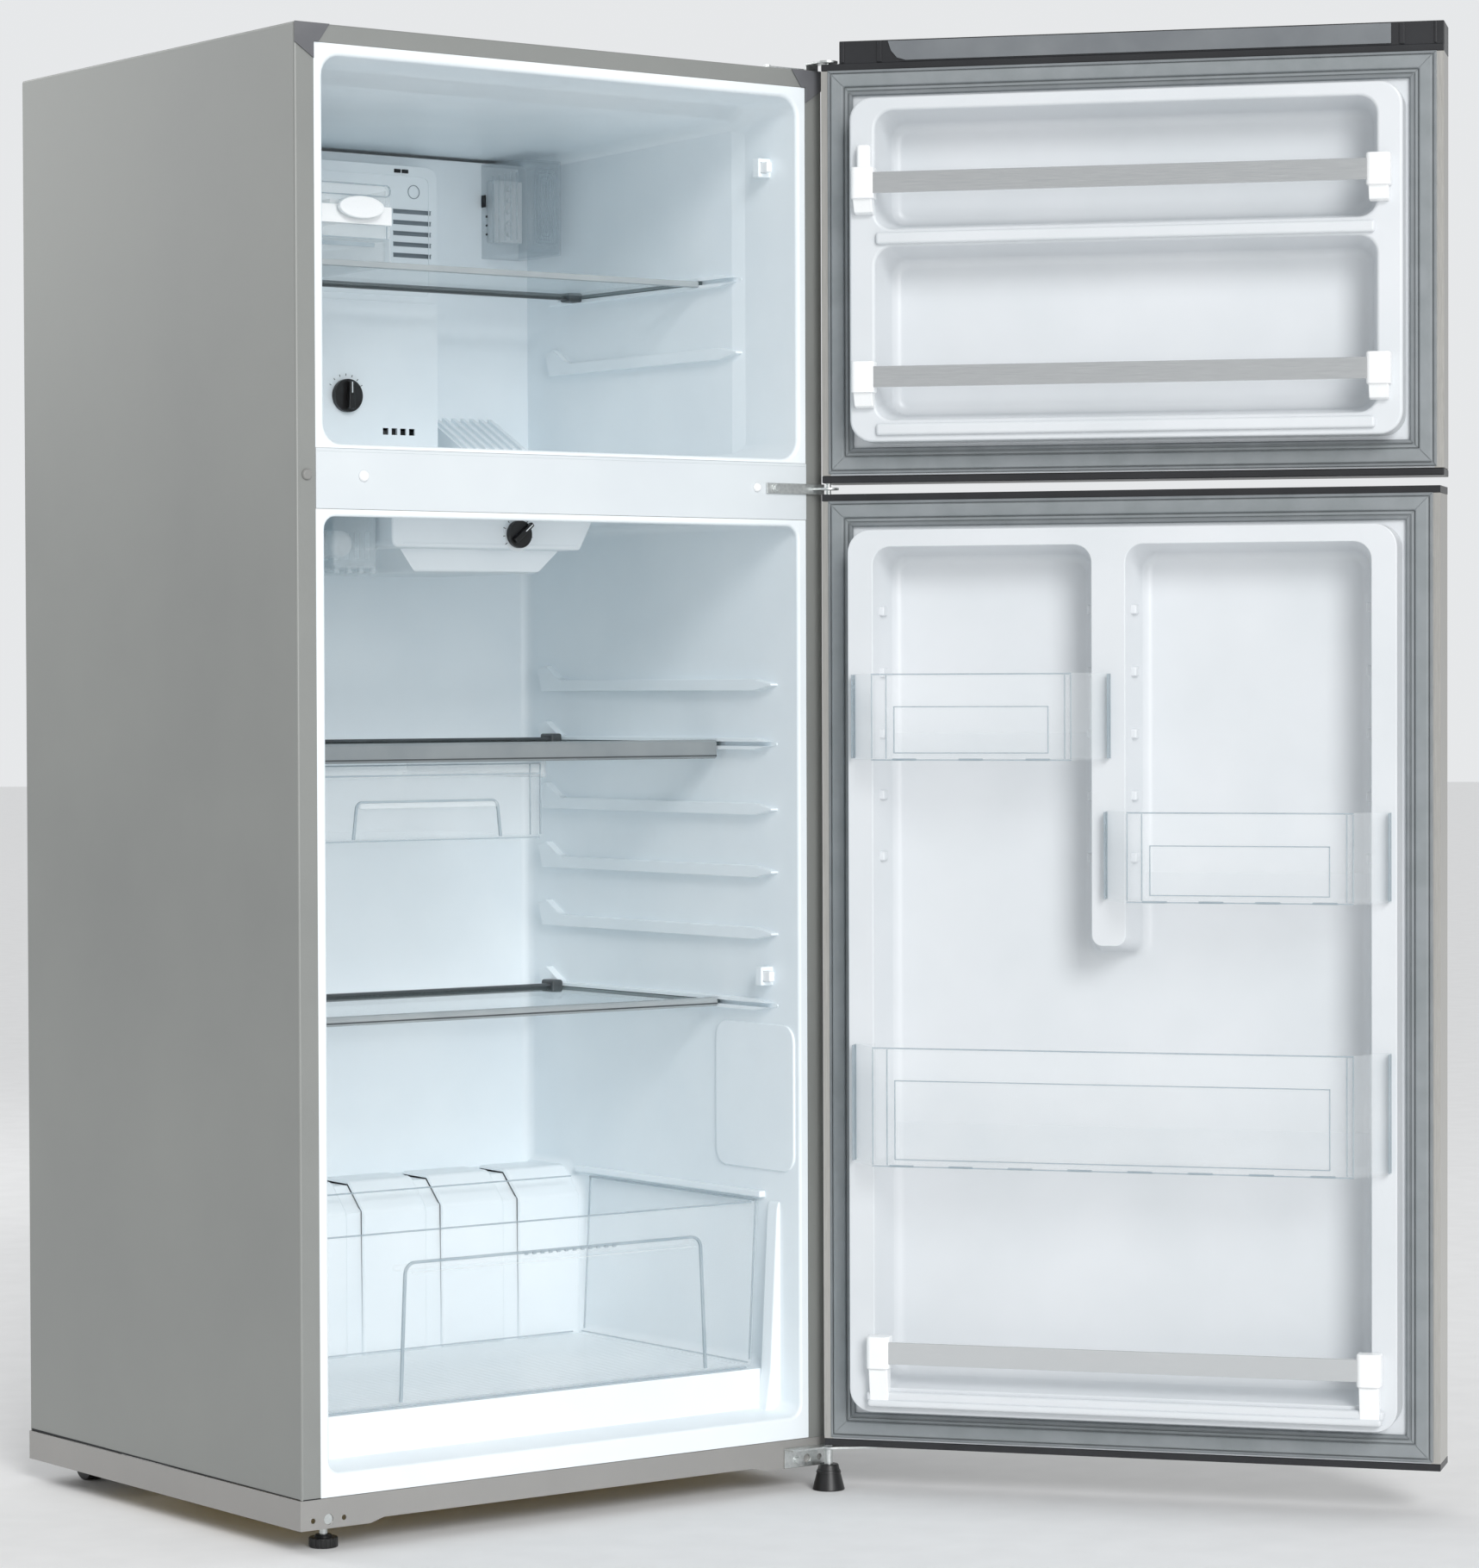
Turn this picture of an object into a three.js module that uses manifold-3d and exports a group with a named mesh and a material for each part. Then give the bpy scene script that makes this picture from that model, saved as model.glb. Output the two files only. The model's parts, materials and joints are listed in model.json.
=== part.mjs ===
// Top freezer refrigerator with both doors open.
// Millimetres, +Z up. The cabinet is drawn with its front face on y = 0, its left side on x = 0 and
// the floor on z = 0, seen from the front; the doors are drawn closed and turned about their hinge.
import * as THREE from 'three';
import { mergeVertices } from 'three/addons/utils/BufferGeometryUtils.js';
import Module from 'manifold-3d';

const wasm = await Module();
wasm.setup();

// ---- driving dimensions -------------------------------------------------------------------------
const fit = 0.3; // gap left between pieces that touch
const cabinetWidth = 711;
const cabinetDepth = 606;
const cabinetTop = 1640;
const wrapperBottom = 59;
const sheet = 1.2; // painted steel wrapper
const sideFlange = 24; // steel flange beside the opening
const topFlange = 20; // steel flange above the opening
const cornerCapLength = 44;

const baseBottom = 26;
const baseSheet = 1.5;
const baseCornerLength = 84; // deep ends of the front apron
const apronRise = 5; // how much higher the apron's middle is
const deckHeight = 44;
const deckThickness = 2.5;
const machineDepth = 136; // open compartment at the bottom rear
const machineHeight = 250;

const sideWall = 36; // outside of the cabinet to the inside of the liners
const freezerBackWall = 32;
const fridgeBackWall = 52;
const linerWall = 2;
const freezerShare = 518; // cabinet top down to the bottom of the mullion
const mullionHeight = 65;
const mullionBulge = 1;
const freezerFloorRise = 70; // above the bottom of the mullion
const freezerCeilingDrop = 33; // below the cabinet top, at the front
const freezerCeilingFall = 25; // how much lower the ceiling is at the back
const fridgeCeilingRise = 4; // above the bottom of the mullion
const fridgeOpeningDrop = 8; // below the bottom of the mullion
const sillHeight = 25;
const scoopDepth = 52; // low shelf behind the sill that the door's liner closes over
const fridgeFloorRise = 76; // above the bottom of the wrapper
const humpDepth = 114; // step over the machine compartment
const humpHeight = 200;
const humpSlope = 30;
const humpRibPitch = 112;
const humpRibWidth = 90;

const railReach = 10; // shelf rails stand out from the liner
const railHeight = 14;
const railFront = 40;
const railBackGap = 44; // rear end of a rail to the back wall
const freezerRailFront = 105;
const freezerRailBackGap = 84;
const glassThickness = 4;
const glassEdge = 2.5; // glass edge to liner wall
const freezerShelfRise = 212.5; // freezer floor to the underside of the glass
const lowerFreezerRailRise = 129;
const freezerShelfSetback = 325; // its front edge to the evaporator cover
const freezerShelfDepth = 250;
const upperShelfShare = 0.7326; // share of the fresh-food height under each shelf
const lowerShelfShare = 0.4259;
const fridgeShelfFront = 142;
const fridgeShelfBackGap = 76;
const shelfTrimDepth = 16;
const upperTrimHeight = 22;
const lowerTrimHeight = 13;
const spareRailShares = [0.5116, 0.5843, 0.6579, 0.8042];
const crisperRailRise = 198;
const crisperRailThickness = 8;

const coverReach = 69; // raised evaporator cover's front to the liner's back wall
const coverGap = 24; // cover's back to the liner's back wall
const coverWall = 2.5;
const coverTopGap = 4;
const raisedHalfWidth = 155;
const raisedTopGap = 16;
const ventSlots = 6;
const ventPitch = 13.2;
const ventRise = 246;
const airflowKnobRadius = 20;
const airflowKnobRise = 89;
const fanRadius = 56;
const fanRise = 288;
const lampCoverWidth = 57;
const lampCoverDepth = 99;
const lampCoverHeight = 116;

const iceLeft = 90;
const iceWidth = 180;
const iceSetback = 273; // its front to the evaporator cover
const iceDepth = 238;
const iceHeight = 94;
const iceWall = 3;
const iceBinHeight = 30;
const trayWidth = 62;
const trayThickness = 18;
const trayShaftRadius = 5;
const trayShaftGap = 0.4;
const trayDividerDrop = 6; // walls between the cells stop below the rim

const housingWidth = 277;
const housingFront = 150;
const housingDepth = 270;
const housingHeight = 38;
const plateauDrop = 26;
const thermostatRadius = 16;

const deliLeft = 106;
const deliWidth = 324;
const deliFront = 160;
const deliBackGap = 13; // behind it to the shelf's rear edge
const deliHeight = 75;
const deliDrop = 29; // its rim below the shelf glass
const tubWall = 2.5;
const deliRim = 5.5;
const crisperFront = 62;
const crisperBackGap = 10;
const crisperSideGap = 5;
const crisperTaper = 11;
const crisperHeight = 195;

const doorGap = 9; // cabinet face to the doors' inner face
const doorThickness = 62;
const doorSkin = 1;
const skinReturn = 10; // skin folded round to the inner face
const endCap = 8;
const freezerDoorRise = 42; // above the bottom of the mullion
const freezerDoorOver = 5; // above the cabinet top
const fridgeDoorUnder = 7; // below the bottom of the wrapper
const fridgeDoorRise = 29; // above the bottom of the mullion
const trimHeight = 26; // dark trim standing on the freezer door
const trimClearance = 21; // trim stops short of the hinge side
const hingeInset = 5.5; // hinge axis to the cabinet's side
const hingeReach = 18.5; // hinge axis in front of the cabinet face
const hingePinRadius = 3;
const hingeBore = 3.5;
const hingeHeadRadius = 12;
const hingePlate = 2.5;
const freezerDoorAngle = 130;
const fridgeDoorAngle = 127.1;

const gasketWidth = 30;
const gasketInset = 8;
const gasketThickness = 6.5;
const dikeInset = 42; // liner's raised rim to the door's edge
const dikeHeight = 45;
const dikeWall = 26;
const pocketDepth = 20;
const centreRib = 32;
const centreRibLength = 511; // down from the door's top edge
const binReach = 53; // bins stand out from the rim's face
const binOverlap = 19;
const binTaper = 34;
const retainerReach = 21;
const handleInset = 48;
const handleRadius = 8;
const handleStandoff = 40;

const footStem = 5;
const leftFoot = { x: 48, y: 34, radius: 15.8, height: 15 };
const rightFoot = { x: cabinetWidth - 10, y: -19, radius: 18.9, top: 11, height: 30 };
const rollerRadius = 20;
const rollerWidth = 22;
const rollerInset = 49;
const rollerSetback = 36;
const axleRadius = 3;
const compressorRadius = 57;
const compressorHeight = 165;

// ---- sizes worked out from them ------------------------------------------------------------------
const middle = cabinetWidth / 2;
const rightSide = cabinetWidth - sideWall; // inner faces of the liners' side walls
const freezerBack = cabinetDepth - freezerBackWall;
const fridgeBack = cabinetDepth - fridgeBackWall;
const mullionBottom = cabinetTop - freezerShare;
const mullionTop = mullionBottom + mullionHeight;
const freezerFloor = mullionBottom + freezerFloorRise;
const freezerCeilingFront = cabinetTop - freezerCeilingDrop;
const freezerCeilingBack = freezerCeilingFront - freezerCeilingFall;
const fridgeCeiling = mullionBottom + fridgeCeilingRise;
const fridgeOpeningTop = mullionBottom - fridgeOpeningDrop;
const sillTop = wrapperBottom + sillHeight;
const fridgeFloor = wrapperBottom + fridgeFloorRise;
const freshHeight = fridgeCeiling - fridgeFloor;
const humpFront = fridgeBack - humpDepth;
const humpTop = fridgeFloor + humpHeight;
const railRear = fridgeBack - railBackGap;
const freezerRailRear = freezerBack - freezerRailBackGap;
const freezerShelfHeight = freezerFloor + freezerShelfRise; // undersides of the shelf glasses
const upperShelfHeight = Math.round(fridgeFloor + upperShelfShare * freshHeight);
const lowerShelfHeight = Math.round(fridgeFloor + lowerShelfShare * freshHeight);
const shelfBack = fridgeBack - fridgeShelfBackGap;
const coverFace = freezerBack - coverReach;
const coverBack = freezerBack - coverGap;
const coverTop = freezerCeilingBack - coverTopGap;
const raisedTop = coverTop - raisedTopGap;
const fanHeight = freezerFloor + fanRise;
const iceFront = coverFace - iceSetback;
const deliTop = upperShelfHeight - deliDrop;
const deliDepth = shelfBack - deliBackGap - deliFront;
const crisperDepth = humpFront - crisperBackGap - crisperFront;
const crisperTopWidth = rightSide - sideWall - 2 * crisperSideGap;
const freezerDoorBottom = mullionBottom + freezerDoorRise;
const freezerDoorTop = cabinetTop + freezerDoorOver;
const fridgeDoorBottom = wrapperBottom - fridgeDoorUnder;
const fridgeDoorTop = mullionBottom + fridgeDoorRise;
const hinge = { x: cabinetWidth - hingeInset, y: -hingeReach };
const doorInner = -doorGap;
const doorOuter = doorInner - doorThickness;
const dikeFace = doorInner + dikeHeight;

// ---- materials -----------------------------------------------------------------------------------
const finish = (color, roughness, metalness, opacity = 1) =>
  new THREE.MeshStandardMaterial({ color, roughness, metalness, opacity, transparent: opacity < 1 });
const paintedSteel = () => finish(0x8d8c89, 0.45, 0.4);
const stainless = () => finish(0xc3c2bd, 0.28, 1);
const zinc = () => finish(0xb9bdb9, 0.35, 1);
const aluminium = () => finish(0xa9adb0, 0.4, 1);
const whitePlastic = () => finish(0xe9eef1, 0.4, 0);
const clearPlastic = () => finish(0xdde8ec, 0.08, 0, 0.35);
const smokedPlastic = () => finish(0xa7b4bc, 0.15, 0, 0.6);
const greyPlastic = () => finish(0x6c6f6f, 0.5, 0);
const charcoalPlastic = () => finish(0x2d2f33, 0.45, 0);
const blackPlastic = () => finish(0x151515, 0.4, 0);
const greyRubber = () => finish(0x878b8e, 0.6, 0);
const shelfGlass = () => finish(0xb9c8cc, 0.05, 0, 0.4);
const foam = () => finish(0xd9c48f, 0.9, 0);
const blackPaint = () => finish(0x1b1b1c, 0.35, 0.3);

// ---- shape helpers -------------------------------------------------------------------------------
function toSolid(geometry) {
  const bare = geometry.clone();
  bare.deleteAttribute('normal');
  bare.deleteAttribute('uv');
  const merged = mergeVertices(bare, 1e-4);
  const vertProperties = merged.attributes.position.array;
  const triVerts = Uint32Array.from(merged.index.array);
  return new wasm.Manifold(new wasm.Mesh({ numProp: 3, vertProperties, triVerts }));
}

function toGeometry(solid) {
  const { vertProperties, triVerts } = solid.getMesh();
  const geometry = new THREE.BufferGeometry();
  geometry.setAttribute('position', new THREE.BufferAttribute(vertProperties, 3));
  geometry.setIndex(new THREE.BufferAttribute(triVerts, 1));
  return geometry;
}

const join = (...shapes) => toGeometry(shapes.map(toSolid).reduce((whole, next) => whole.add(next)));

const cut = (base, ...tools) =>
  toGeometry(tools.map(toSolid).reduce((left, tool) => left.subtract(tool), toSolid(base)));

// A block between two x, two y and two z values.
function block(x0, x1, y0, y1, z0, z1) {
  const box = new THREE.BoxGeometry(x1 - x0, y1 - y0, z1 - z0);
  return box.translate((x0 + x1) / 2, (y0 + y1) / 2, (z0 + z1) / 2);
}

// An outline extruded along x (points are y, z), along y (points are x, z) or along z (points are x, y).
const facings = {
  x: [new THREE.Vector3(0, 1, 0), new THREE.Vector3(0, 0, 1), new THREE.Vector3(1, 0, 0)],
  y: [new THREE.Vector3(1, 0, 0), new THREE.Vector3(0, 0, 1), new THREE.Vector3(0, -1, 0)],
  z: [new THREE.Vector3(1, 0, 0), new THREE.Vector3(0, 1, 0), new THREE.Vector3(0, 0, 1)],
};

function prism(axis, outline, from, to) {
  const shape = new THREE.Shape(outline.map(([a, b]) => new THREE.Vector2(a, b)));
  const solid = new THREE.ExtrudeGeometry(shape, { depth: to - from, bevelEnabled: false });
  solid.applyMatrix4(new THREE.Matrix4().makeBasis(...facings[axis]));
  const start = axis === 'y' ? to : from;
  return solid.translate(axis === 'x' ? start : 0, axis === 'y' ? start : 0, axis === 'z' ? start : 0);
}

// A round bar from one point along an axis.
function rod(axis, x, y, z, length, radius, sides = 16, endRadius = radius) {
  const bar = new THREE.CylinderGeometry(endRadius, radius, length, sides);
  bar.translate(0, length / 2, 0);
  if (axis === 'x') bar.rotateZ(-Math.PI / 2);
  if (axis === 'z') bar.rotateX(Math.PI / 2);
  return bar.translate(x, y, z);
}

const turned = (profile, sides) =>
  new THREE.LatheGeometry(profile.map(([r, h]) => new THREE.Vector2(r, h)), sides).rotateX(Math.PI / 2);

// An open-topped box with walls of one thickness.
const tub = (x0, x1, y0, y1, z0, z1, wall) =>
  cut(block(x0, x1, y0, y1, z0, z1), block(x0 + wall, x1 - wall, y0 + wall, y1 - wall, z0 + wall, z1 + 1));

const range = (count) => Array.from({ length: count }, (_, index) => index);

// ---- groups: everything stands in the appliance, and each door hangs in its own turned group -------
const refrigerator = new THREE.Group();
refrigerator.name = 'refrigerator';

function doorGroup(name, angle) {
  const leaf = new THREE.Group();
  leaf.name = name;
  leaf.position.set(hinge.x, hinge.y, 0);
  leaf.rotation.z = THREE.MathUtils.degToRad(angle);
  refrigerator.add(leaf);
  return leaf;
}
const freezerDoor = doorGroup('freezer_door', freezerDoorAngle);
const fridgeDoor = doorGroup('fridge_door', fridgeDoorAngle);

function add(group, name, geometry, material) {
  const mesh = new THREE.Mesh(geometry, material);
  mesh.name = name;
  if (group !== refrigerator) mesh.position.set(-hinge.x, -hinge.y, 0);
  group.add(mesh);
}

// ---- cabinet shell -------------------------------------------------------------------------------
function outerWrapper() {
  return cut(
    block(0, cabinetWidth, 0, cabinetDepth, wrapperBottom, cabinetTop),
    block(sheet, cabinetWidth - sheet, sheet, cabinetDepth + 1, wrapperBottom - 1, cabinetTop - sheet),
    block(sideFlange, cabinetWidth - sideFlange, -1, sheet + 1, wrapperBottom - 1, cabinetTop - topFlange),
  );
}

const rollerSpots = [rollerInset, cabinetWidth - rollerInset - rollerWidth];
const axleY = cabinetDepth - rollerSetback;

function baseFrame() {
  const top = wrapperBottom - fit;
  const skirt = cut(
    block(-baseSheet, cabinetWidth + baseSheet, 0, cabinetDepth + baseSheet, baseBottom, top),
    block(0, cabinetWidth, baseSheet, cabinetDepth, baseBottom - 1, top + 1),
  );
  const deckTop = deckHeight + deckThickness;
  const deckSide = baseSheet / 2;
  const frontDeck = block(-deckSide, cabinetWidth + deckSide, deckSide, 70, deckHeight, deckTop);
  const machineFront = cabinetDepth - machineDepth;
  const rearDeck = block(
    -baseSheet / 2, cabinetWidth + baseSheet / 2,
    machineFront, cabinetDepth + baseSheet / 2,
    deckHeight, deckTop,
  );
  const lugs = rollerSpots.flatMap((x) => [x - 4, x + rollerWidth + 1].map((side) =>
    block(side, side + 3, axleY - 14, axleY + 14, rollerRadius - 8, deckHeight + 1)));
  const axles = rollerSpots.map((x) =>
    rod('x', x - 3, axleY, rollerRadius, rollerWidth + 6, axleRadius, 12));
  const whole = join(skirt, frontDeck, rearDeck, ...lugs, ...axles);
  const risen = baseBottom + apronRise;
  const archLeft = baseCornerLength;
  const archRight = cabinetWidth - baseCornerLength;
  const arch = prism('y', [
    [archLeft, baseBottom - 1], [archRight, baseBottom - 1], [archRight - 20, risen], [archLeft + 20, risen],
  ], -1, baseSheet + 1);
  const apronHoles = [[14.5, 3], [34, 6], [53.5, 3]].map(([x, r]) => rod('y', x, -1, 36, 4, r, 12));
  const stemHole = rod('z', leftFoot.x, leftFoot.y, deckHeight - 1, deckThickness + 2, footStem + fit, 16);
  return cut(whole, arch, stemHole, ...apronHoles);
}

const rearPanel = () => block(
  sheet + fit, cabinetWidth - sheet - fit,
  cabinetDepth - sheet, cabinetDepth,
  wrapperBottom + machineHeight, cabinetTop - sheet - fit,
);

// Side outlines (y, z) of the two food spaces, grown by a wall or a gap.
const freezerOutline = (grow) => [
  [-5, freezerFloor - grow],
  [freezerBack + grow, freezerFloor - grow],
  [freezerBack + grow, freezerCeilingBack + grow],
  [-5, freezerCeilingFront + grow],
];

const fridgeOutline = (grow) => [
  [-5, sillTop - grow],
  [scoopDepth + grow, sillTop + 6 - grow],
  [scoopDepth + 8 + grow, fridgeFloor - grow],
  [humpFront + grow, fridgeFloor - grow],
  [humpFront + grow, humpTop - humpSlope - grow],
  [humpFront + humpSlope + grow, humpTop - grow],
  [fridgeBack + grow, humpTop - grow],
  [fridgeBack + grow, fridgeCeiling + grow],
  [30, fridgeCeiling + grow],
  [4, fridgeOpeningTop + grow],
  [-5, fridgeOpeningTop + grow],
];

const cavity = (outline, grow) => prism('x', outline(grow), sideWall - grow, rightSide + grow);

function cabinetInsulation() {
  const grow = linerWall + fit;
  const front = linerWall + 2 * fit;
  const machineTop = wrapperBottom + machineHeight;
  return cut(
    block(
      sheet + fit, cabinetWidth - sheet - fit,
      front, cabinetDepth - sheet - fit,
      wrapperBottom, cabinetTop - sheet - fit,
    ),
    cavity(freezerOutline, grow),
    cavity(fridgeOutline, grow),
    block(0, cabinetWidth, cabinetDepth - machineDepth, cabinetDepth, wrapperBottom - 1, machineTop),
  );
}

// A rail for a shelf on each side wall, grooved where the glass slides in.
function shelfRails(front, rear, centre, groove) {
  const low = centre - railHeight / 2;
  const high = centre + railHeight / 2;
  const rails = [sideWall, rightSide].map((wall) => {
    const inward = wall === sideWall ? 1 : -1;
    const edges = [wall - inward, wall + inward * railReach].sort((a, b) => a - b);
    return block(edges[0], edges[1], front, rear, low, high);
  });
  const room = glassThickness / 2 + fit + 0.1;
  const slots = groove
    ? [sideWall, rightSide].map((wall) => {
        const inward = wall === sideWall ? 1 : -1;
        const edges = [wall + inward * 1.5, wall + inward * (railReach + 1)].sort((a, b) => a - b);
        return block(edges[0], edges[1], front - 1, rear - 20, centre - room, centre + room);
      })
    : [];
  return rails.map((rail, side) => (slots.length ? cut(rail, slots[side]) : rail));
}

// Guide for a spring-loaded door switch, on the right wall just behind the opening.
const switchWidth = 8;
const switchHeight = 12;
const switchFront = dikeFace + 2.5;
const switchLength = 15;
const switchTravel = 6;
const switchRight = rightSide - 6;
function switchGuide(height) {
  const pocket = switchFront + switchLength + switchTravel + fit;
  const left = switchRight - switchWidth;
  return cut(
    block(left - 3, rightSide + 1, switchFront + 12, pocket + 3, height - 11, height + 11),
    block(left - fit, switchRight + fit, switchFront, pocket,
      height - switchHeight / 2 - fit, height + switchHeight / 2 + fit),
  );
}
const switchButton = (height) => block(
  switchRight - switchWidth, switchRight,
  switchFront, switchFront + switchLength,
  height - switchHeight / 2, height + switchHeight / 2,
);
const freezerSwitchHeight = freezerShelfHeight + 126.5;
const fridgeSwitchHeight = lowerShelfHeight + 36;

function linerBody(outline, lipBottom, lipTop, extras) {
  const lip = block(
    sideFlange + fit, cabinetWidth - sideFlange - fit,
    fit, fit + linerWall,
    lipBottom, lipTop,
  );
  const shell = cut(
    join(lip, cut(cavity(outline, linerWall), block(0, cabinetWidth, -10, fit, 0, cabinetTop))),
    cavity(outline, 0),
  );
  return join(shell, ...extras);
}

const freezerLiner = () => linerBody(freezerOutline, mullionTop + fit, cabinetTop - topFlange - fit, [
  ...shelfRails(freezerRailFront, freezerRailRear, freezerShelfHeight + glassThickness / 2, true),
  ...shelfRails(freezerRailFront, freezerRailRear, freezerFloor + lowerFreezerRailRise, false),
  switchGuide(freezerSwitchHeight),
]);

function fridgeLiner() {
  const crisperRails = [sideWall, rightSide].map((wall) => {
    const inner = wall === sideWall ? wall + railReach - 2 : wall - railReach + 2;
    const outer = wall === sideWall ? wall - 1 : wall + 1;
    return block(Math.min(inner, outer), Math.max(inner, outer), crisperFront + 5, humpFront + 5,
      fridgeFloor + crisperRailRise, fridgeFloor + crisperRailRise + crisperRailThickness);
  });
  const bulges = range(Math.floor((rightSide - sideWall - 8) / humpRibPitch)).map((index) => {
    const right = rightSide - 8 - index * humpRibPitch;
    return prism('x', [
      [humpFront + 1, fridgeFloor - 1], [humpFront - 7, fridgeFloor - 1],
      [humpFront - 7, humpTop - humpSlope - 8], [humpFront + 1, humpTop - humpSlope],
    ], right - humpRibWidth, right);
  });
  return linerBody(fridgeOutline, wrapperBottom + fit, mullionBottom - fit, [
    ...[lowerShelfHeight, upperShelfHeight].flatMap((level) =>
      shelfRails(railFront, railRear, level + glassThickness / 2, true)),
    ...spareRailShares.flatMap((share) =>
      shelfRails(railFront, railRear, Math.round(fridgeFloor + share * freshHeight), false)),
    ...crisperRails,
    ...bulges,
    switchGuide(fridgeSwitchHeight),
  ]);
}

const mullionCover = () => block(
  sideFlange + fit, cabinetWidth - sideFlange - fit,
  -mullionBulge, fit + linerWall,
  mullionBottom, mullionTop,
);

function cornerCap(side) {
  const flip = ([x, z]) => [side === 'left' ? x : cabinetWidth - x, cabinetTop - z];
  const outline = [
    [0, 0], [cornerCapLength, 0], [cornerCapLength - 14, topFlange],
    [sideFlange, topFlange], [sideFlange, cornerCapLength - 6], [0, cornerCapLength - 22],
  ].map(flip);
  return prism('y', side === 'left' ? outline.reverse() : outline, -1.6, -fit);
}

// ---- hinges --------------------------------------------------------------------------------------
const hingePin = (low, high) => rod('z', hinge.x, hinge.y, low, high - low, hingePinRadius, 16);
const hingeHead = (z) => rod('z', hinge.x, hinge.y, z, hingePlate, hingeHeadRadius, 20);
const hingeArm = (z, back) =>
  block(hinge.x - hingeHeadRadius, hinge.x + hingeInset, hinge.y, back, z, z + hingePlate);

function topHinge() {
  const plate = cabinetTop + fit;
  const arm = freezerDoorTop + 2;
  return join(
    block(cabinetWidth - 70, cabinetWidth, 8, 62, plate, plate + hingePlate),
    block(hinge.x - hingeHeadRadius, cabinetWidth, 6, 6 + hingePlate, plate, arm + hingePlate),
    hingeArm(arm, 7),
    hingeHead(arm),
    hingePin(freezerDoorTop - endCap + 1, arm + 1),
  );
}

function middleHinge() {
  const gapMiddle = (freezerDoorBottom + fridgeDoorTop) / 2;
  const arm = gapMiddle - hingePlate / 2;
  return join(
    block(cabinetWidth - 83, cabinetWidth, -hingePlate - mullionBulge - fit, -mullionBulge - fit,
      gapMiddle - 6, gapMiddle + 6),
    hingeArm(arm, -mullionBulge - 1),
    hingeHead(arm),
    hingePin(fridgeDoorTop - endCap + 1, freezerDoorBottom + endCap - 1),
  );
}

function bottomHinge() {
  const arm = fridgeDoorBottom - 2 - hingePlate;
  const left = cabinetWidth - 61;
  const tab = cut(
    block(left, cabinetWidth, -hingePlate - fit, -fit, baseBottom + 1, arm + 1),
    rod('y', left + 16, -hingePlate - 2, 36, 6, 3, 12),
    rod('y', left + 32, -hingePlate - 2, 36, 6, 5, 12),
    rod('y', left + 50, -hingePlate - 2, 36, 6, 3.5, 12),
  );
  const shelf = block(left, cabinetWidth, hinge.y, -fit, arm, arm + hingePlate);
  const stop = prism('z', [
    [hinge.x - 4, hinge.y - 11], [hinge.x + 4, hinge.y + 8],
    [hinge.x + 48, hinge.y - 24], [hinge.x + 40, hinge.y - 36],
  ], arm, arm + hingePlate);
  return join(tab, shelf, stop, hingeHead(arm), hingePin(arm + 1, fridgeDoorBottom + endCap - 1));
}

// ---- freezer fittings ----------------------------------------------------------------------------
const raisedLeft = middle - raisedHalfWidth;
const raisedRight = middle + raisedHalfWidth;

function evaporatorCover() {
  const low = freezerFloor + fit + 0.1;
  const flat = block(sideWall + 0.4, rightSide - 0.4, coverBack - coverWall, coverBack, low, coverTop);
  const raised = block(raisedLeft, raisedRight, coverFace, coverBack, low, raisedTop);
  const louvre = prism('x', [
    [coverBack - 1, low + 66], [coverFace - 35, low + 24], [coverFace - 35, low], [coverBack - 1, low],
  ], raisedRight + 17, rightSide - 50);
  const hollow = block(
    raisedLeft + coverWall, raisedRight - coverWall,
    coverFace + coverWall, coverBack + 1,
    low + coverWall, raisedTop - coverWall,
  );
  const vents = range(ventSlots).map((row) => {
    const z = freezerFloor + ventRise + row * ventPitch;
    return block(raisedRight - 63, raisedRight - 9, coverFace - 1, coverFace + coverWall + 1, z, z + 5);
  });
  const drains = range(4).map((step) => {
    const x = raisedRight - 79 + step * 12.5;
    return block(x, x + 8, coverFace - 1, coverFace + coverWall + 1, freezerFloor + 44, freezerFloor + 52);
  });
  return cut(join(flat, raised, louvre), hollow, ...vents, ...drains);
}

function evaporatorCoil() {
  const fins = range(8).map((index) => {
    const x = raisedLeft + 14 + index * 40;
    return block(x, x + 2, coverFace + 8, freezerBack - 4, freezerFloor + 23, freezerFloor + 203);
  });
  const tubes = range(4).map((row) => {
    const z = freezerFloor + 43 + row * 45;
    return block(raisedLeft + 10, raisedRight - 10, coverBack - 16, coverBack - 8, z, z + 8);
  });
  return join(...fins, ...tubes);
}

const fanMotor = () => join(
  block(middle - 24, middle + 24, coverBack + 1, freezerBack - fit, fanHeight - 24, fanHeight + 24),
  rod('y', middle, coverBack - 8, fanHeight, 12, 3, 12),
);

function fanBlade() {
  const hub = cut(
    rod('y', middle, coverBack - 30, fanHeight, 26, 16, 16),
    rod('y', middle, coverBack - 14, fanHeight, 12, 3 + fit, 12),
  );
  const blades = range(5).map((index) => {
    const vane = new THREE.BoxGeometry(26, 2, fanRadius - 10);
    vane.rotateZ(0.5).translate(0, 0, 10 + (fanRadius - 10) / 2);
    return vane.rotateY((index * 2 * Math.PI) / 5).translate(middle, coverBack - 18, fanHeight);
  });
  return join(hub, ...blades);
}

function freezerLampCover() {
  const right = rightSide - 14;
  const back = coverBack - coverWall - fit;
  const high = coverTop - 2;
  const low = high - lampCoverHeight;
  const left = right - lampCoverWidth;
  return cut(
    block(left, right, back - lampCoverDepth, back, low, high),
    block(left + 2.5, right - 2.5, back - lampCoverDepth + 2.5, back + 1, low + 2.5, high - 2.5),
  );
}

function airflowKnob() {
  const x = middle + 23.5;
  const z = freezerFloor + airflowKnobRise;
  const back = coverFace - fit;
  return join(
    rod('y', x, back - 7, z, 7, airflowKnobRadius, 24),
    block(x - 4, x + 4, back - 15, back - 6, z - airflowKnobRadius + 1, z + airflowKnobRadius - 1),
  );
}

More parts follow.
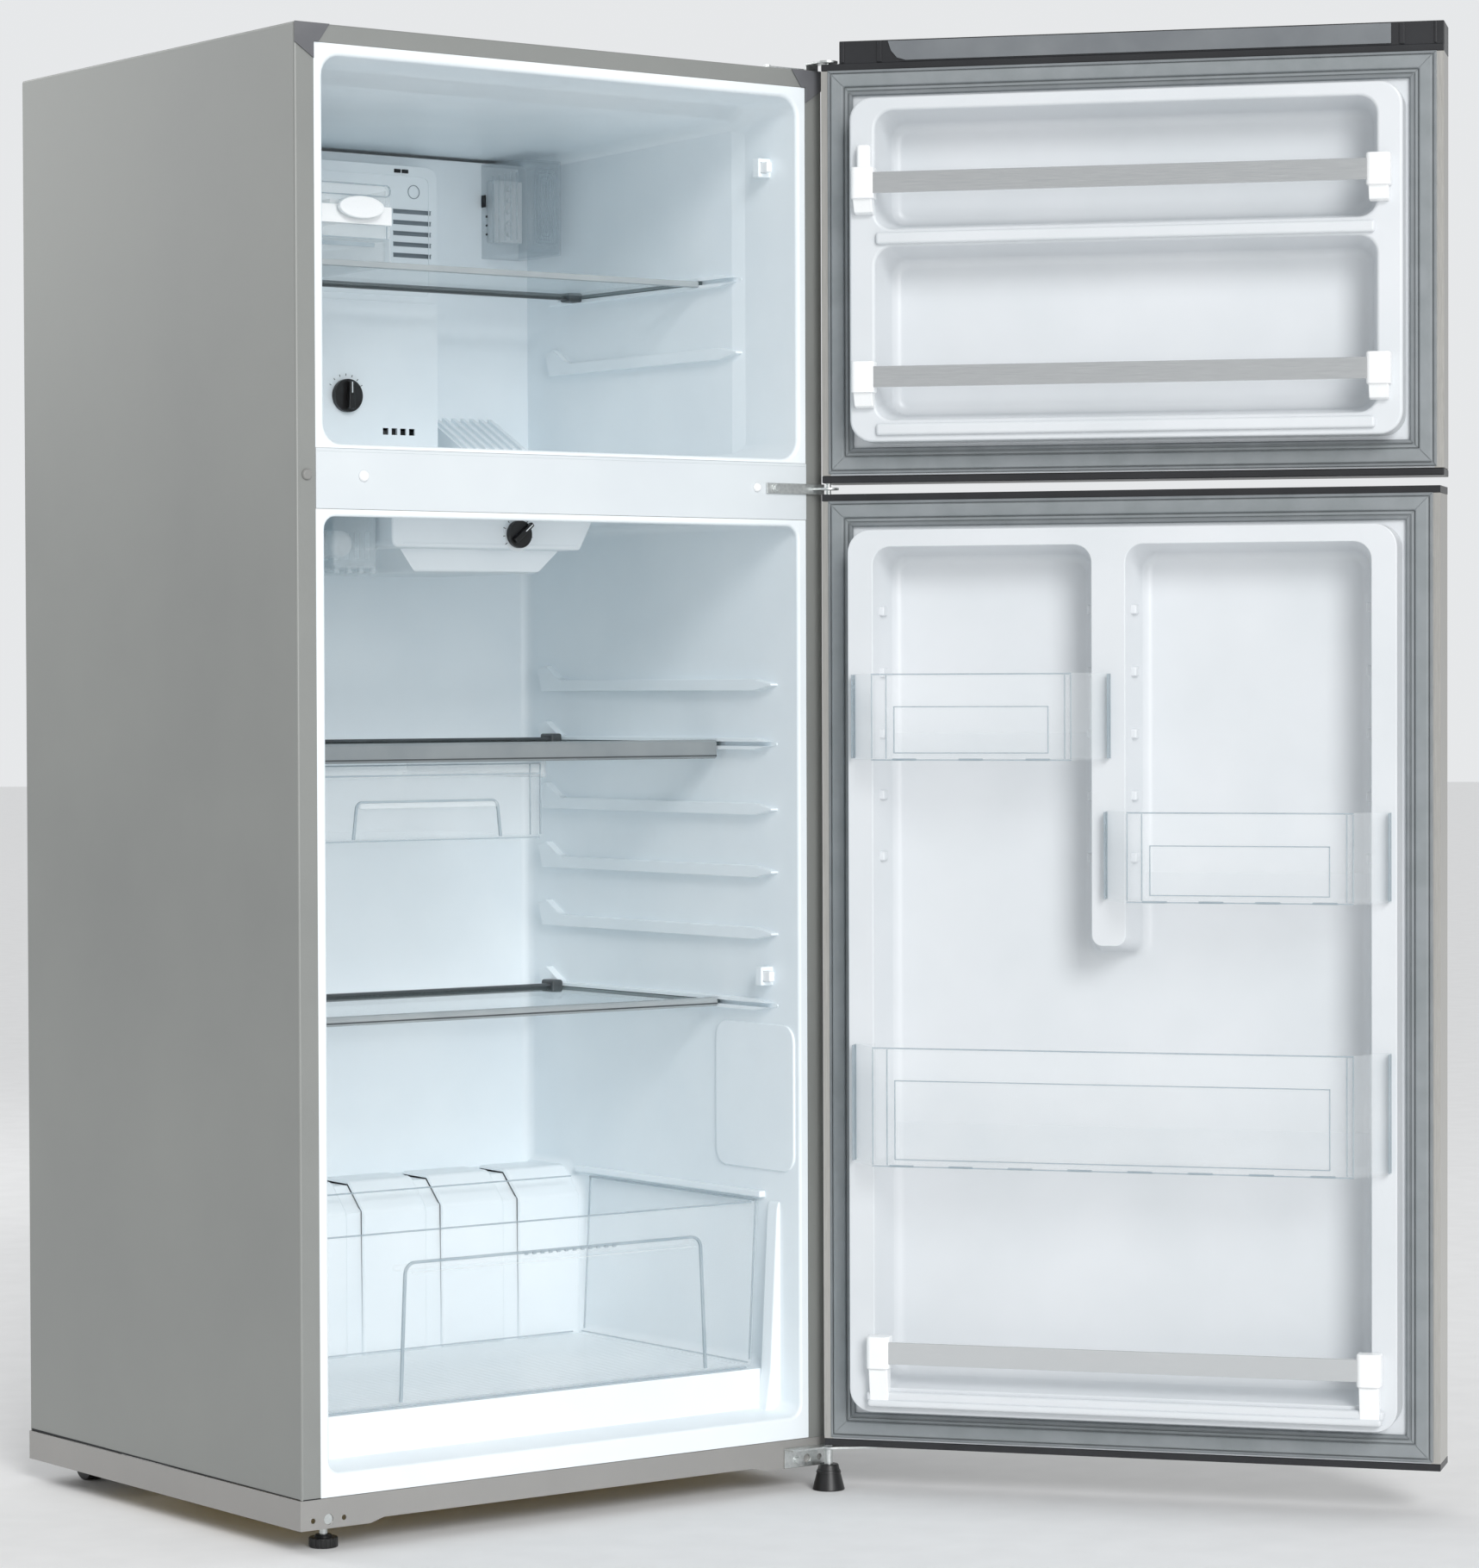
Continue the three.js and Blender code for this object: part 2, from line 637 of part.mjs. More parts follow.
const freezerShelf = () => block(
  sideWall + glassEdge, rightSide - glassEdge,
  coverFace - freezerShelfSetback, coverFace - freezerShelfSetback + freezerShelfDepth,
  freezerShelfHeight, freezerShelfHeight + glassThickness,
);

const iceFloor = freezerShelfHeight + glassThickness + fit;
const iceRight = iceLeft + iceWidth;
const trayHeight = iceFloor + 65;
const trayCentres = [iceLeft + iceWidth * 0.26, iceLeft + iceWidth * 0.74];

function iceMakerFrame() {
  const shaftHoles = trayCentres.map((x) =>
    rod('y', x, iceFront - 1, trayHeight, iceDepth + 2, trayShaftRadius + trayShaftGap, 16));
  const chambers = [[iceLeft + iceWall, iceLeft + iceWidth / 2 - 1.5],
    [iceLeft + iceWidth / 2 + 1.5, iceRight - iceWall]].map(([x0, x1]) =>
    block(x0, x1, iceFront + iceWall, iceFront + iceDepth - iceWall,
      iceFloor + iceBinHeight - 1, iceFloor + iceHeight + 1));
  return cut(
    block(iceLeft, iceRight, iceFront, iceFront + iceDepth, iceFloor, iceFloor + iceHeight),
    block(iceLeft + iceWall, iceRight - iceWall, iceFront - 1, iceFront + iceDepth - iceWall,
      iceFloor - 1, iceFloor + iceBinHeight),
    ...chambers,
    ...shaftHoles,
  );
}

function iceTray(centre) {
  const front = iceFront + iceWall + 4;
  const back = iceFront + iceDepth - iceWall - 4;
  const cellsAlong = 5;
  const pitch = (back - front - 4) / cellsAlong;
  const cells = range(cellsAlong).flatMap((row) => [-1, 1].map((side) => {
    const x = centre + side * (trayWidth / 4 - 0.5);
    const y = front + 2 + row * pitch;
    return block(x - trayWidth / 4 + 2.5, x + trayWidth / 4 - 2.5, y + 1.5, y + pitch - 1.5,
      trayHeight - trayThickness / 2 + 3, trayHeight + trayThickness);
  }));
  const top = trayHeight + trayThickness / 2;
  const body = cut(
    block(centre - trayWidth / 2, centre + trayWidth / 2, front, back, top - trayThickness, top),
    block(
      centre - trayWidth / 2 + 3, centre + trayWidth / 2 - 3,
      front + 3, back - 3,
      top - trayDividerDrop, top + 1,
    ),
    ...cells,
  );
  const grip = new THREE.CylinderGeometry(30, 30, 7, 24).scale(1, 1, 0.43);
  grip.translate(centre, iceFront - 10, trayHeight);
  return join(
    body,
    rod('y', centre, iceFront - 10, trayHeight, 20, trayShaftRadius, 16),
    rod('y', centre, back - 2, trayHeight, 8, trayShaftRadius, 16),
    grip,
  );
}

function iceBin() {
  const back = iceFront + iceDepth - iceWall - 2;
  return tub(iceLeft + iceWall + 1, iceRight - iceWall - 1, iceFront + 2, back,
    iceFloor, iceFloor + iceBinHeight - 2, 2);
}

// ---- fresh-food fittings -------------------------------------------------------------------------
const housingTop = fridgeCeiling - 0.4;
const housingBottom = housingTop - housingHeight;

function controlHousing() {
  const left = middle - housingWidth / 2;
  const right = middle + housingWidth / 2;
  const back = housingFront + housingDepth;
  const plateau = prism('y', [
    [left + 38, housingBottom + 1], [left + 58, housingBottom - plateauDrop],
    [right - 50, housingBottom - plateauDrop], [right - 20, housingBottom + 1],
  ], housingFront + 45, back - 20);
  return cut(
    join(block(left, right, housingFront, back, housingBottom, housingTop), plateau),
    block(left + 3, right - 3, housingFront + 3, back - 3, housingBottom + 3, housingTop + 1),
  );
}

function thermostatKnob() {
  const x = middle + 30;
  const z = housingBottom + housingHeight / 2 - 2;
  const back = housingFront - fit;
  const pointer = new THREE.BoxGeometry(7, 7, thermostatRadius + 16).translate(0, 0, 3);
  pointer.rotateY(THREE.MathUtils.degToRad(50)).translate(x, back - 9, z);
  return join(rod('y', x, back - 8, z, 8, thermostatRadius, 24), pointer);
}

function fridgeLampCover() {
  const right = middle - housingWidth / 2 - 3;
  const left = right - 60;
  return cut(
    block(left, right, 175, 300, housingTop - 63, housingTop),
    block(left + 2, right - 2, 177, 298, housingTop - 61, housingTop + 1),
    ...range(5).map((row) =>
      block(left - 1, left + 3, 190 + row * 22, 202 + row * 22, housingTop - 50, housingTop - 20),
    ),
  );
}

const shelfGlassPanel = (level) => block(
  sideWall + glassEdge, rightSide - glassEdge,
  fridgeShelfFront + shelfTrimDepth / 2, shelfBack,
  level, level + glassThickness,
);

const trimSide = sideWall + railReach + 2;
function shelfTrim(level, height) {
  const top = level + glassThickness + 2.5;
  return cut(
    block(
      trimSide, cabinetWidth - trimSide,
      fridgeShelfFront, fridgeShelfFront + shelfTrimDepth,
      top - height, top,
    ),
    block(0, cabinetWidth, fridgeShelfFront + shelfTrimDepth / 2 - fit, fridgeShelfFront + shelfTrimDepth + 1,
      level - fit, level + glassThickness + fit),
  );
}

const deliRight = deliLeft + deliWidth;
const deliRimTop = deliTop;
const deliRimBottom = deliTop - 2.7;

// The upper shelf's front trim carries the two hanging rails of the small drawer.
function upperShelfTrim() {
  const hangerTop = upperShelfHeight - fit;
  const flange = deliRimBottom - fit;
  const start = fridgeShelfFront + 6;
  const end = deliFront + deliDepth;
  const hangers = [
    [deliLeft - deliRim - 4, deliLeft - deliRim - 1, deliLeft - deliRim - 4, deliLeft - 1],
    [deliRight + deliRim + 1, deliRight + deliRim + 4, deliRight + 1, deliRight + deliRim + 4],
  ].flatMap(([web0, web1, foot0, foot1]) => [
    block(web0, web1, start, end, flange - 3, hangerTop),
    block(foot0, foot1, deliFront + 12, end, flange - 3, flange),
  ]);
  return join(shelfTrim(upperShelfHeight, upperTrimHeight), ...hangers);
}

function deliDrawer() {
  const back = deliFront + deliDepth - 4;
  const rims = [[deliLeft - deliRim, deliLeft + 1], [deliRight - 1, deliRight + deliRim]].map(([x0, x1]) =>
    block(x0, x1, deliFront + 14, back, deliRimBottom, deliRimTop));
  const grip = block(deliLeft + 67, deliRight - 66, deliFront - 7, deliFront + 1, deliTop - 38, deliTop - 30);
  const body = tub(deliLeft, deliRight, deliFront, back, deliTop - deliHeight, deliTop, tubWall);
  return join(body, ...rims, grip);
}

function crisperDrawer() {
  const low = fridgeFloor + 1;
  const high = low + crisperHeight;
  const halfTop = crisperTopWidth / 2;
  const halfLow = halfTop - crisperTaper;
  const back = crisperFront + crisperDepth;
  const section = (inset, bottom, top) => [
    [middle - halfLow + inset, bottom], [middle + halfLow - inset, bottom],
    [middle + halfTop - inset, top], [middle - halfTop + inset, top],
  ];
  const body = cut(
    prism('y', section(0, low, high), crisperFront, back),
    prism('y', section(tubWall, low + tubWall, high + 1), crisperFront + tubWall, back - tubWall),
  );
  const grip = block(middle - 204, middle + 204, crisperFront - 8, crisperFront + 1, high - 43, high - 34);
  return join(body, grip);
}

// ---- doors ---------------------------------------------------------------------------------------
const hingeHoles = (low, high) => rod('z', hinge.x, hinge.y, low, high - low, hingeBore, 16);

function doorShell(low, high) {
  const bottom = low + endCap + fit;
  const top = high - endCap - fit;
  return {
    skin: cut(
      block(0, cabinetWidth, doorOuter, doorInner, bottom, top),
      block(
        doorSkin, cabinetWidth - doorSkin,
        doorOuter + doorSkin, doorInner - doorSkin,
        bottom - 1, top + 1,
      ),
      block(
        skinReturn, cabinetWidth - skinReturn,
        doorInner - doorSkin - 1, doorInner + 1,
        bottom - 1, top + 1,
      ),
    ),
    bottomCap: cut(
      block(0, cabinetWidth, doorOuter, doorInner, low, low + endCap),
      hingeHoles(low - 1, low + endCap + 1),
    ),
    topCap: cut(
      block(0, cabinetWidth, doorOuter, doorInner, high - endCap, high),
      hingeHoles(high - endCap - 1, high + 1),
    ),
    inside: [doorSkin + fit, cabinetWidth - doorSkin - fit, doorOuter + doorSkin + fit,
      doorInner - linerWall - fit, bottom, top],
    panel: [skinReturn + fit, cabinetWidth - skinReturn - fit, doorInner - linerWall, doorInner, bottom, top],
  };
}

const dikeLeft = dikeInset;
const dikeRight = cabinetWidth - dikeInset;
const dikeBlock = (low, high, grow) => block(
  dikeLeft - grow, dikeRight + grow,
  doorInner - pocketDepth - linerWall - grow, dikeFace,
  low - grow, high + grow,
);
const pocket = (x0, x1, z0, z1) => block(x0, x1, doorInner - pocketDepth, dikeFace + 1, z0, z1);

function gasket(low, high) {
  const front = doorInner + fit;
  const bottom = low + gasketInset + 2;
  const top = high - gasketInset;
  return cut(
    block(gasketInset, cabinetWidth - gasketInset, front, front + gasketThickness, bottom, top),
    block(
      gasketInset + gasketWidth, cabinetWidth - gasketInset - gasketWidth,
      front - 1, front + gasketThickness + 1,
      bottom + gasketWidth, top - gasketWidth,
    ),
  );
}

const freezerDike = [freezerDoorBottom + 44, freezerDoorTop - 45];
const fridgeDike = [fridgeDoorBottom + 48, fridgeDoorTop - 43];
const pocketLeft = dikeLeft + dikeWall - 1;
const pocketRight = dikeRight - dikeWall;
const ledgeBottom = freezerDike[0] + 225;
const ledgeTop = ledgeBottom + 13;
const centreRibBottom = fridgeDoorTop - centreRibLength;
const ribLeft = middle - 5;
const ribRight = ribLeft + centreRib;

const freezerDoorLiner = (panel) => cut(
  join(block(...panel), dikeBlock(...freezerDike, 0)),
  pocket(pocketLeft, pocketRight, freezerDike[0] + 21, ledgeBottom),
  pocket(pocketLeft, pocketRight, ledgeTop, freezerDike[1] - 12),
);

const fridgeDoorLiner = (panel) => cut(
  join(block(...panel), dikeBlock(...fridgeDike, 0)),
  pocket(pocketLeft, pocketRight, fridgeDike[0] + 15, centreRibBottom),
  pocket(pocketLeft, ribLeft, centreRibBottom - 1, fridgeDike[1] - 16),
  pocket(ribRight, pocketRight, centreRibBottom - 1, fridgeDike[1] - 16),
);

const doorInsulation = (inside, dike) =>
  cut(block(...inside), dikeBlock(dike[0], dike[1], fit));

function handle(low, high) {
  const bar = doorOuter - handleStandoff;
  const posts = [low + 30, high - 42].map((z) =>
    block(handleInset - 6, handleInset + 6, bar, doorOuter - fit, z, z + 12));
  return join(rod('z', handleInset, bar, low, high - low, handleRadius, 20), ...posts);
}

// A rail across a storage pocket, held by an end piece on each side of the rim.
function retainer(barLow, barHeight, footDrop, barLeft, barRight) {
  const barHigh = barLow + barHeight;
  const footLow = barLow - footDrop;
  const front = dikeFace + fit;
  const reach = dikeFace + retainerReach;
  const ends = [[barLeft - 24, barLeft + 3], [barRight - 3, barRight + 24]].flatMap(([x0, x1]) => [
    block(x0, x1, front, reach, barLow - 6, barHigh + 6),
    block(x0 + 3, x1 - 3, front, front + 13, footLow, barLow - 5),
  ]);
  return join(block(barLeft, barRight, reach - 5, reach - 3, barLow, barHigh), ...ends);
}

// A clear bin: its floor reaches back into the pocket and its front narrows towards the shopper.
function doorBin(pocketX0, pocketX1, low, frontHeight, backHeight) {
  const high = low + frontHeight;
  const back = doorInner - pocketDepth + 2;
  const shoulder = dikeFace + fit + 0.1;
  const front = dikeFace + binReach;
  const outline = (inset) => [
    [pocketX0 + 2 + inset, back + inset],
    [pocketX1 - 2 - inset, back + inset],
    [pocketX1 - 2 - inset, shoulder + inset],
    [pocketX1 + binOverlap - inset, shoulder + inset],
    [pocketX1 + binOverlap - 6 - inset, shoulder + 14],
    [pocketX1 + binOverlap - binTaper - inset, front - inset],
    [pocketX0 - binOverlap + binTaper + inset, front - inset],
    [pocketX0 - binOverlap + 6 + inset, shoulder + 14],
    [pocketX0 - binOverlap + inset, shoulder + inset],
    [pocketX0 + 2 + inset, shoulder + inset],
  ];
  return cut(
    prism('z', outline(0), low, high),
    prism('z', outline(tubWall), low + tubWall, high + 1),
    block(0, cabinetWidth, back - 1, shoulder - 4, low + backHeight, high + 1),
  );
}

// ---- assembly ------------------------------------------------------------------------------------
add(refrigerator, 'outer_wrapper', outerWrapper(), paintedSteel());
add(refrigerator, 'base_frame', baseFrame(), paintedSteel());
add(refrigerator, 'rear_panel', rearPanel(), paintedSteel());
add(refrigerator, 'cabinet_insulation', cabinetInsulation(), foam());
add(refrigerator, 'freezer_liner', freezerLiner(), whitePlastic());
add(refrigerator, 'fridge_liner', fridgeLiner(), whitePlastic());
add(refrigerator, 'mullion_cover', mullionCover(), whitePlastic());
add(refrigerator, 'top_corner_cap_left', cornerCap('left'), greyPlastic());
add(refrigerator, 'top_corner_cap_right', cornerCap('right'), greyPlastic());
add(refrigerator, 'top_hinge_bracket', topHinge(), zinc());
add(refrigerator, 'middle_hinge_bracket', middleHinge(), zinc());
add(refrigerator, 'bottom_hinge_bracket', bottomHinge(), zinc());
add(refrigerator, 'evaporator_cover', evaporatorCover(), whitePlastic());
add(refrigerator, 'evaporator_coil', evaporatorCoil(), aluminium());
add(refrigerator, 'evaporator_fan_motor', fanMotor(), blackPlastic());
add(refrigerator, 'evaporator_fan_blade', fanBlade(), whitePlastic());
add(refrigerator, 'freezer_lamp_cover', freezerLampCover(), smokedPlastic());
add(refrigerator, 'airflow_knob', airflowKnob(), blackPlastic());
add(refrigerator, 'freezer_shelf_glass', freezerShelf(), shelfGlass());
add(refrigerator, 'ice_maker_frame', iceMakerFrame(), whitePlastic());
add(refrigerator, 'ice_tray_left', iceTray(trayCentres[0]), whitePlastic());
add(refrigerator, 'ice_tray_right', iceTray(trayCentres[1]), whitePlastic());
add(refrigerator, 'ice_bin', iceBin(), clearPlastic());
add(refrigerator, 'control_housing', controlHousing(), whitePlastic());
add(refrigerator, 'thermostat_knob', thermostatKnob(), blackPlastic());
add(refrigerator, 'fridge_lamp_cover', fridgeLampCover(), clearPlastic());
add(refrigerator, 'upper_shelf_glass', shelfGlassPanel(upperShelfHeight), shelfGlass());
add(refrigerator, 'upper_shelf_trim', upperShelfTrim(), greyPlastic());
add(refrigerator, 'lower_shelf_glass', shelfGlassPanel(lowerShelfHeight), shelfGlass());
add(refrigerator, 'lower_shelf_trim', shelfTrim(lowerShelfHeight, lowerTrimHeight), greyPlastic());
add(refrigerator, 'deli_drawer', deliDrawer(), clearPlastic());
add(refrigerator, 'crisper_drawer', crisperDrawer(), clearPlastic());
add(refrigerator, 'freezer_door_switch', switchButton(freezerSwitchHeight), whitePlastic());
add(refrigerator, 'fridge_door_switch', switchButton(fridgeSwitchHeight), whitePlastic());

const leftFootShape = turned([
  [0, 0], [leftFoot.radius - 2, 0], [leftFoot.radius, 2], [leftFoot.radius, leftFoot.height - 3],
  [leftFoot.radius - 4, leftFoot.height], [footStem, leftFoot.height], [footStem, wrapperBottom - 2],
  [0, wrapperBottom - 2],
], 24);
const rightStemTop = fridgeDoorBottom - 2 - hingePlate - fit;
const rightFootShape = turned([
  [0, 0], [rightFoot.radius - 2, 0], [rightFoot.radius, 3], [rightFoot.top, rightFoot.height],
  [footStem, rightFoot.height], [footStem, rightStemTop], [0, rightStemTop],
], 24);
add(refrigerator, 'left_foot', leftFootShape.translate(leftFoot.x, leftFoot.y, 0), blackPlastic());
add(refrigerator, 'right_foot', rightFootShape.translate(rightFoot.x, rightFoot.y, 0), blackPlastic());

const roller = (x) => cut(
  rod('x', x, axleY, rollerRadius, rollerWidth, rollerRadius, 32),
  rod('x', x - 1, axleY, rollerRadius, rollerWidth + 2, axleRadius + fit, 12),
);
add(refrigerator, 'rear_roller_left', roller(rollerSpots[0]), blackPlastic());
add(refrigerator, 'rear_roller_right', roller(rollerSpots[1]), blackPlastic());

const machineY = cabinetDepth - machineDepth / 2;
const deckTop = deckHeight + deckThickness + fit;
const compressorPot = turned([
  [0, 0], [compressorRadius * 0.8, 0], [compressorRadius, 20], [compressorRadius, compressorHeight * 0.6],
  [compressorRadius * 0.75, compressorHeight * 0.9], [compressorRadius * 0.3, compressorHeight],
  [0, compressorHeight],
], 24).scale(1.4, 1, 1).translate(200, machineY, deckTop + 3);
const compressorPlate = block(110, 290, machineY - 52, machineY + 52, deckTop, deckTop + 5);
add(refrigerator, 'compressor', join(compressorPot, compressorPlate), blackPaint());
const trayBottom = deckTop + compressorHeight + 6;
const dripTray = tub(90, 310, machineY - 58, machineY + 58, trayBottom, trayBottom + 28, 2);
add(refrigerator, 'drip_tray', dripTray, greyPlastic());

const freezer = doorShell(freezerDoorBottom, freezerDoorTop);
const freezerTrim = block(
  0, cabinetWidth - trimClearance,
  doorOuter, doorInner - 2,
  freezerDoorTop - 1, freezerDoorTop + trimHeight,
);
add(freezerDoor, 'freezer_door_skin', freezer.skin, stainless());
add(freezerDoor, 'freezer_door_top_cap', join(freezer.topCap, freezerTrim), charcoalPlastic());
add(freezerDoor, 'freezer_door_bottom_cap', freezer.bottomCap, charcoalPlastic());
add(freezerDoor, 'freezer_door_insulation', doorInsulation(freezer.inside, freezerDike), foam());
add(freezerDoor, 'freezer_door_liner', freezerDoorLiner(freezer.panel), whitePlastic());
add(freezerDoor, 'freezer_door_gasket', gasket(freezerDoorBottom, freezerDoorTop), greyRubber());
const railLeft = pocketLeft + 11;
const railRight = pocketRight - 3;
add(freezerDoor, 'freezer_retainer_upper', retainer(ledgeTop + 43, 24, 23, railLeft, railRight), aluminium());
const lowerRetainer = retainer(freezerDoorBottom + 105, 24, 23, railLeft, railRight);
add(freezerDoor, 'freezer_retainer_lower', lowerRetainer, aluminium());
add(freezerDoor, 'freezer_handle', handle(freezerDoorBottom + 40, freezerDoorBottom + 350), stainless());

const fridge = doorShell(fridgeDoorBottom, fridgeDoorTop);
add(fridgeDoor, 'fridge_door_skin', fridge.skin, stainless());
add(fridgeDoor, 'fridge_door_top_cap', fridge.topCap, charcoalPlastic());
add(fridgeDoor, 'fridge_door_bottom_cap', fridge.bottomCap, charcoalPlastic());
add(fridgeDoor, 'fridge_door_insulation', doorInsulation(fridge.inside, fridgeDike), foam());
add(fridgeDoor, 'fridge_door_liner', fridgeDoorLiner(fridge.panel), whitePlastic());
add(fridgeDoor, 'fridge_door_gasket', gasket(fridgeDoorBottom, fridgeDoorTop), greyRubber());
const upperBinLow = fridgeDoorTop - 305;
const middleBinLow = fridgeDoorTop - 463;
const lowerBinLow = fridgeDoorBottom + 335;
add(fridgeDoor, 'upper_door_bin', doorBin(ribRight, pocketRight, upperBinLow, 98, 30), clearPlastic());
add(fridgeDoor, 'middle_door_bin', doorBin(pocketLeft, ribLeft, middleBinLow, 101, 30), clearPlastic());
add(fridgeDoor, 'lower_door_bin', doorBin(pocketLeft, pocketRight, lowerBinLow, 135, 40), clearPlastic());
const bottomRail = retainer(fridgeDoorBottom + 106, 25, 52, pocketLeft + 15, pocketRight - 22);
add(fridgeDoor, 'fridge_door_retainer', bottomRail, aluminium());
add(fridgeDoor, 'fridge_handle', handle(fridgeDoorTop - 480, fridgeDoorTop - 40), stainless());

// The origin is on the floor, under the middle of the whole appliance as it stands with its doors open.
refrigerator.updateMatrixWorld(true);
const reach = new THREE.Box3().setFromObject(refrigerator, true);
refrigerator.position.set(
  -Math.round((reach.min.x + reach.max.x) / 2),
  -Math.round((reach.min.y + reach.max.y) / 2),
  0,
);

export default refrigerator;
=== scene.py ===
"""A top freezer refrigerator with both doors open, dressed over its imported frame."""
import json
import math

import bpy
from mathutils import Matrix, Vector

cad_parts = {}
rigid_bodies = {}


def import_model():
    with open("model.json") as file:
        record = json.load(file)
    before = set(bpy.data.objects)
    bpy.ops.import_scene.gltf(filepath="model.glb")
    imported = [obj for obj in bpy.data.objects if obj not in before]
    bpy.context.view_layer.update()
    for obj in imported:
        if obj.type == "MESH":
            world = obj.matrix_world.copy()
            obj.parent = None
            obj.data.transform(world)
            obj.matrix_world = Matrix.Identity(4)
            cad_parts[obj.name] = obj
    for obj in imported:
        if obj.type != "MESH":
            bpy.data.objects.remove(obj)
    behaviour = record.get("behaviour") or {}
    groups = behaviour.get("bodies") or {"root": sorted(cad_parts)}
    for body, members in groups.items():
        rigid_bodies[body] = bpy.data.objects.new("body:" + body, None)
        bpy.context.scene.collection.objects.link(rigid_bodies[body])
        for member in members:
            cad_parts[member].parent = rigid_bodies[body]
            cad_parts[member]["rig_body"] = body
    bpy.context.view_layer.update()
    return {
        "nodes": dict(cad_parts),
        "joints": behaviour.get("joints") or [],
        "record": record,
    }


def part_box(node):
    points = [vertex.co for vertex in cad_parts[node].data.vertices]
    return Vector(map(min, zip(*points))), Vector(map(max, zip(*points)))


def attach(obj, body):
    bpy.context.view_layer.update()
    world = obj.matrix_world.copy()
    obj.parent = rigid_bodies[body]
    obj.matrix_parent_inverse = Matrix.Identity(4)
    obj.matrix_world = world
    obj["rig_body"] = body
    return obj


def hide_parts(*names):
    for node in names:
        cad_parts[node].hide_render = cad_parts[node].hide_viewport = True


bl_info = {
    "name": "Refrigerator dresser",
    "version": (1, 0, 0),
    "blender": (4, 5, 0),
    "location": "View3D > Sidebar > Refrigerator",
    "description": "Models the visible pieces of a top freezer refrigerator on its frame",
    "category": "Object",
}

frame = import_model()
NODES = frame["nodes"]

# The cabinet is measured from its front left corner on the floor, in millimetres:
# x to the right, y to the back, z up. A door is measured as it hangs when it is shut.
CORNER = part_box("outer_wrapper")[0]
WIDTH = 711.0
TOP = 1640
PIN = (705.5, -18.5)
LINER = (34, 677)  # outer faces of the liners' side walls
ROOM = (36, 675)  # inner faces of the liners' side walls
FLANGE = 24.3  # from the cabinet's side to a liner's front flange
DOOR_FLANGE = 10.3  # from a door's side to its liner
RIM_FRONT = 36  # how far a door liner's rim stands into the cabinet
ICE_FLOOR = 1408.8  # top of the freezer shelf
TRAY_AXES = (136.8, 223.2)
PLUG_LEVEL = 1158  # height of the mullion's plugs and of the middle bracket's screw
NEAR = 0.1  # two places closer than this are one
SMOOTH_ANGLE = math.radians(35)
FLAT_ANGLE = math.radians(1)
MERGE_METRES = 0.00002
DOORS = ("freezer_door", "fridge_door")
SWING = {j["child"]: -math.radians(j["range_deg"][0]) for j in frame["joints"] if j["child"] in DOORS}
BODY_OF = {n: o["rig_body"] for n, o in NODES.items()}


def here(x, y, z):
    return Vector((CORNER.x + x / 1000, CORNER.y + y / 1000, z / 1000))


def millimetres(point):
    return ((point.x - CORNER.x) * 1000, (point.y - CORNER.y) * 1000, point.z * 1000)


def opened(door):
    """The turn that carries a shut door to where it stands."""
    pin = here(PIN[0], PIN[1], 0)
    turn = Matrix.Rotation(SWING[door], 4, "Z")
    return Matrix.Translation(pin) @ turn @ Matrix.Translation(-pin)


# ---- modelling ------------------------------------------------------------------------------------
def mode(name):
    bpy.ops.object.mode_set(mode=name)


def clear():
    if bpy.context.object and bpy.context.mode != "OBJECT":
        mode("OBJECT")
    bpy.ops.object.select_all(action="DESELECT")


def only(piece):
    clear()
    piece.select_set(True)
    bpy.context.view_layer.objects.active = piece


def settle(piece):
    """Puts the piece's place, turn and size into its mesh."""
    only(piece)
    bpy.ops.object.transform_apply(location=True, rotation=True, scale=True)
    return piece


def block(x0, x1, y0, y1, z0, z1):
    clear()
    middle = here((x0 + x1) / 2, (y0 + y1) / 2, (z0 + z1) / 2)
    bpy.ops.mesh.primitive_cube_add(size=1, location=middle)
    piece = bpy.context.object
    piece.scale = ((x1 - x0) / 1000, (y1 - y0) / 1000, (z1 - z0) / 1000)
    return settle(piece)


TURNS = {"x": (0, math.pi / 2, 0), "y": (-math.pi / 2, 0, 0), "z": (0, 0, 0)}


def rod(axis, x, y, z, length, radius, end_radius=None, sides=40):
    """A round bar that starts at a point and runs along an axis."""
    clear()
    step = {"x": (length / 2, 0, 0), "y": (0, length / 2, 0), "z": (0, 0, length / 2)}[axis]
    bpy.ops.mesh.primitive_cone_add(
        vertices=sides,
        radius1=radius / 1000,
        radius2=(radius if end_radius is None else end_radius) / 1000,
        depth=length / 1000,
        location=here(x + step[0], y + step[1], z + step[2]),
        rotation=TURNS[axis],
    )
    return settle(bpy.context.object)


def outline(axis, points, start, end):
    """An outline pulled along x (points are y, z), along y (x, z) or along z (x, y)."""
    clear()
    bpy.ops.mesh.primitive_circle_add(vertices=len(points), radius=0.01, fill_type="NGON")
    piece = bpy.context.object
    for corner, (a, b) in zip(piece.data.vertices, points):
        corner.co = here(*{"x": (start, a, b), "y": (a, start, b), "z": (a, b, start)}[axis])
    only(piece)
    mode("EDIT")
    bpy.ops.mesh.select_all(action="SELECT")
    reach = (end - start) / 1000
    bpy.ops.mesh.extrude_region_move(TRANSFORM_OT_translate={"value": [reach * (axis == k) for k in "xyz"]})
    bpy.ops.mesh.select_all(action="SELECT")
    bpy.ops.mesh.normals_make_consistent(inside=False)
    mode("OBJECT")
    return piece


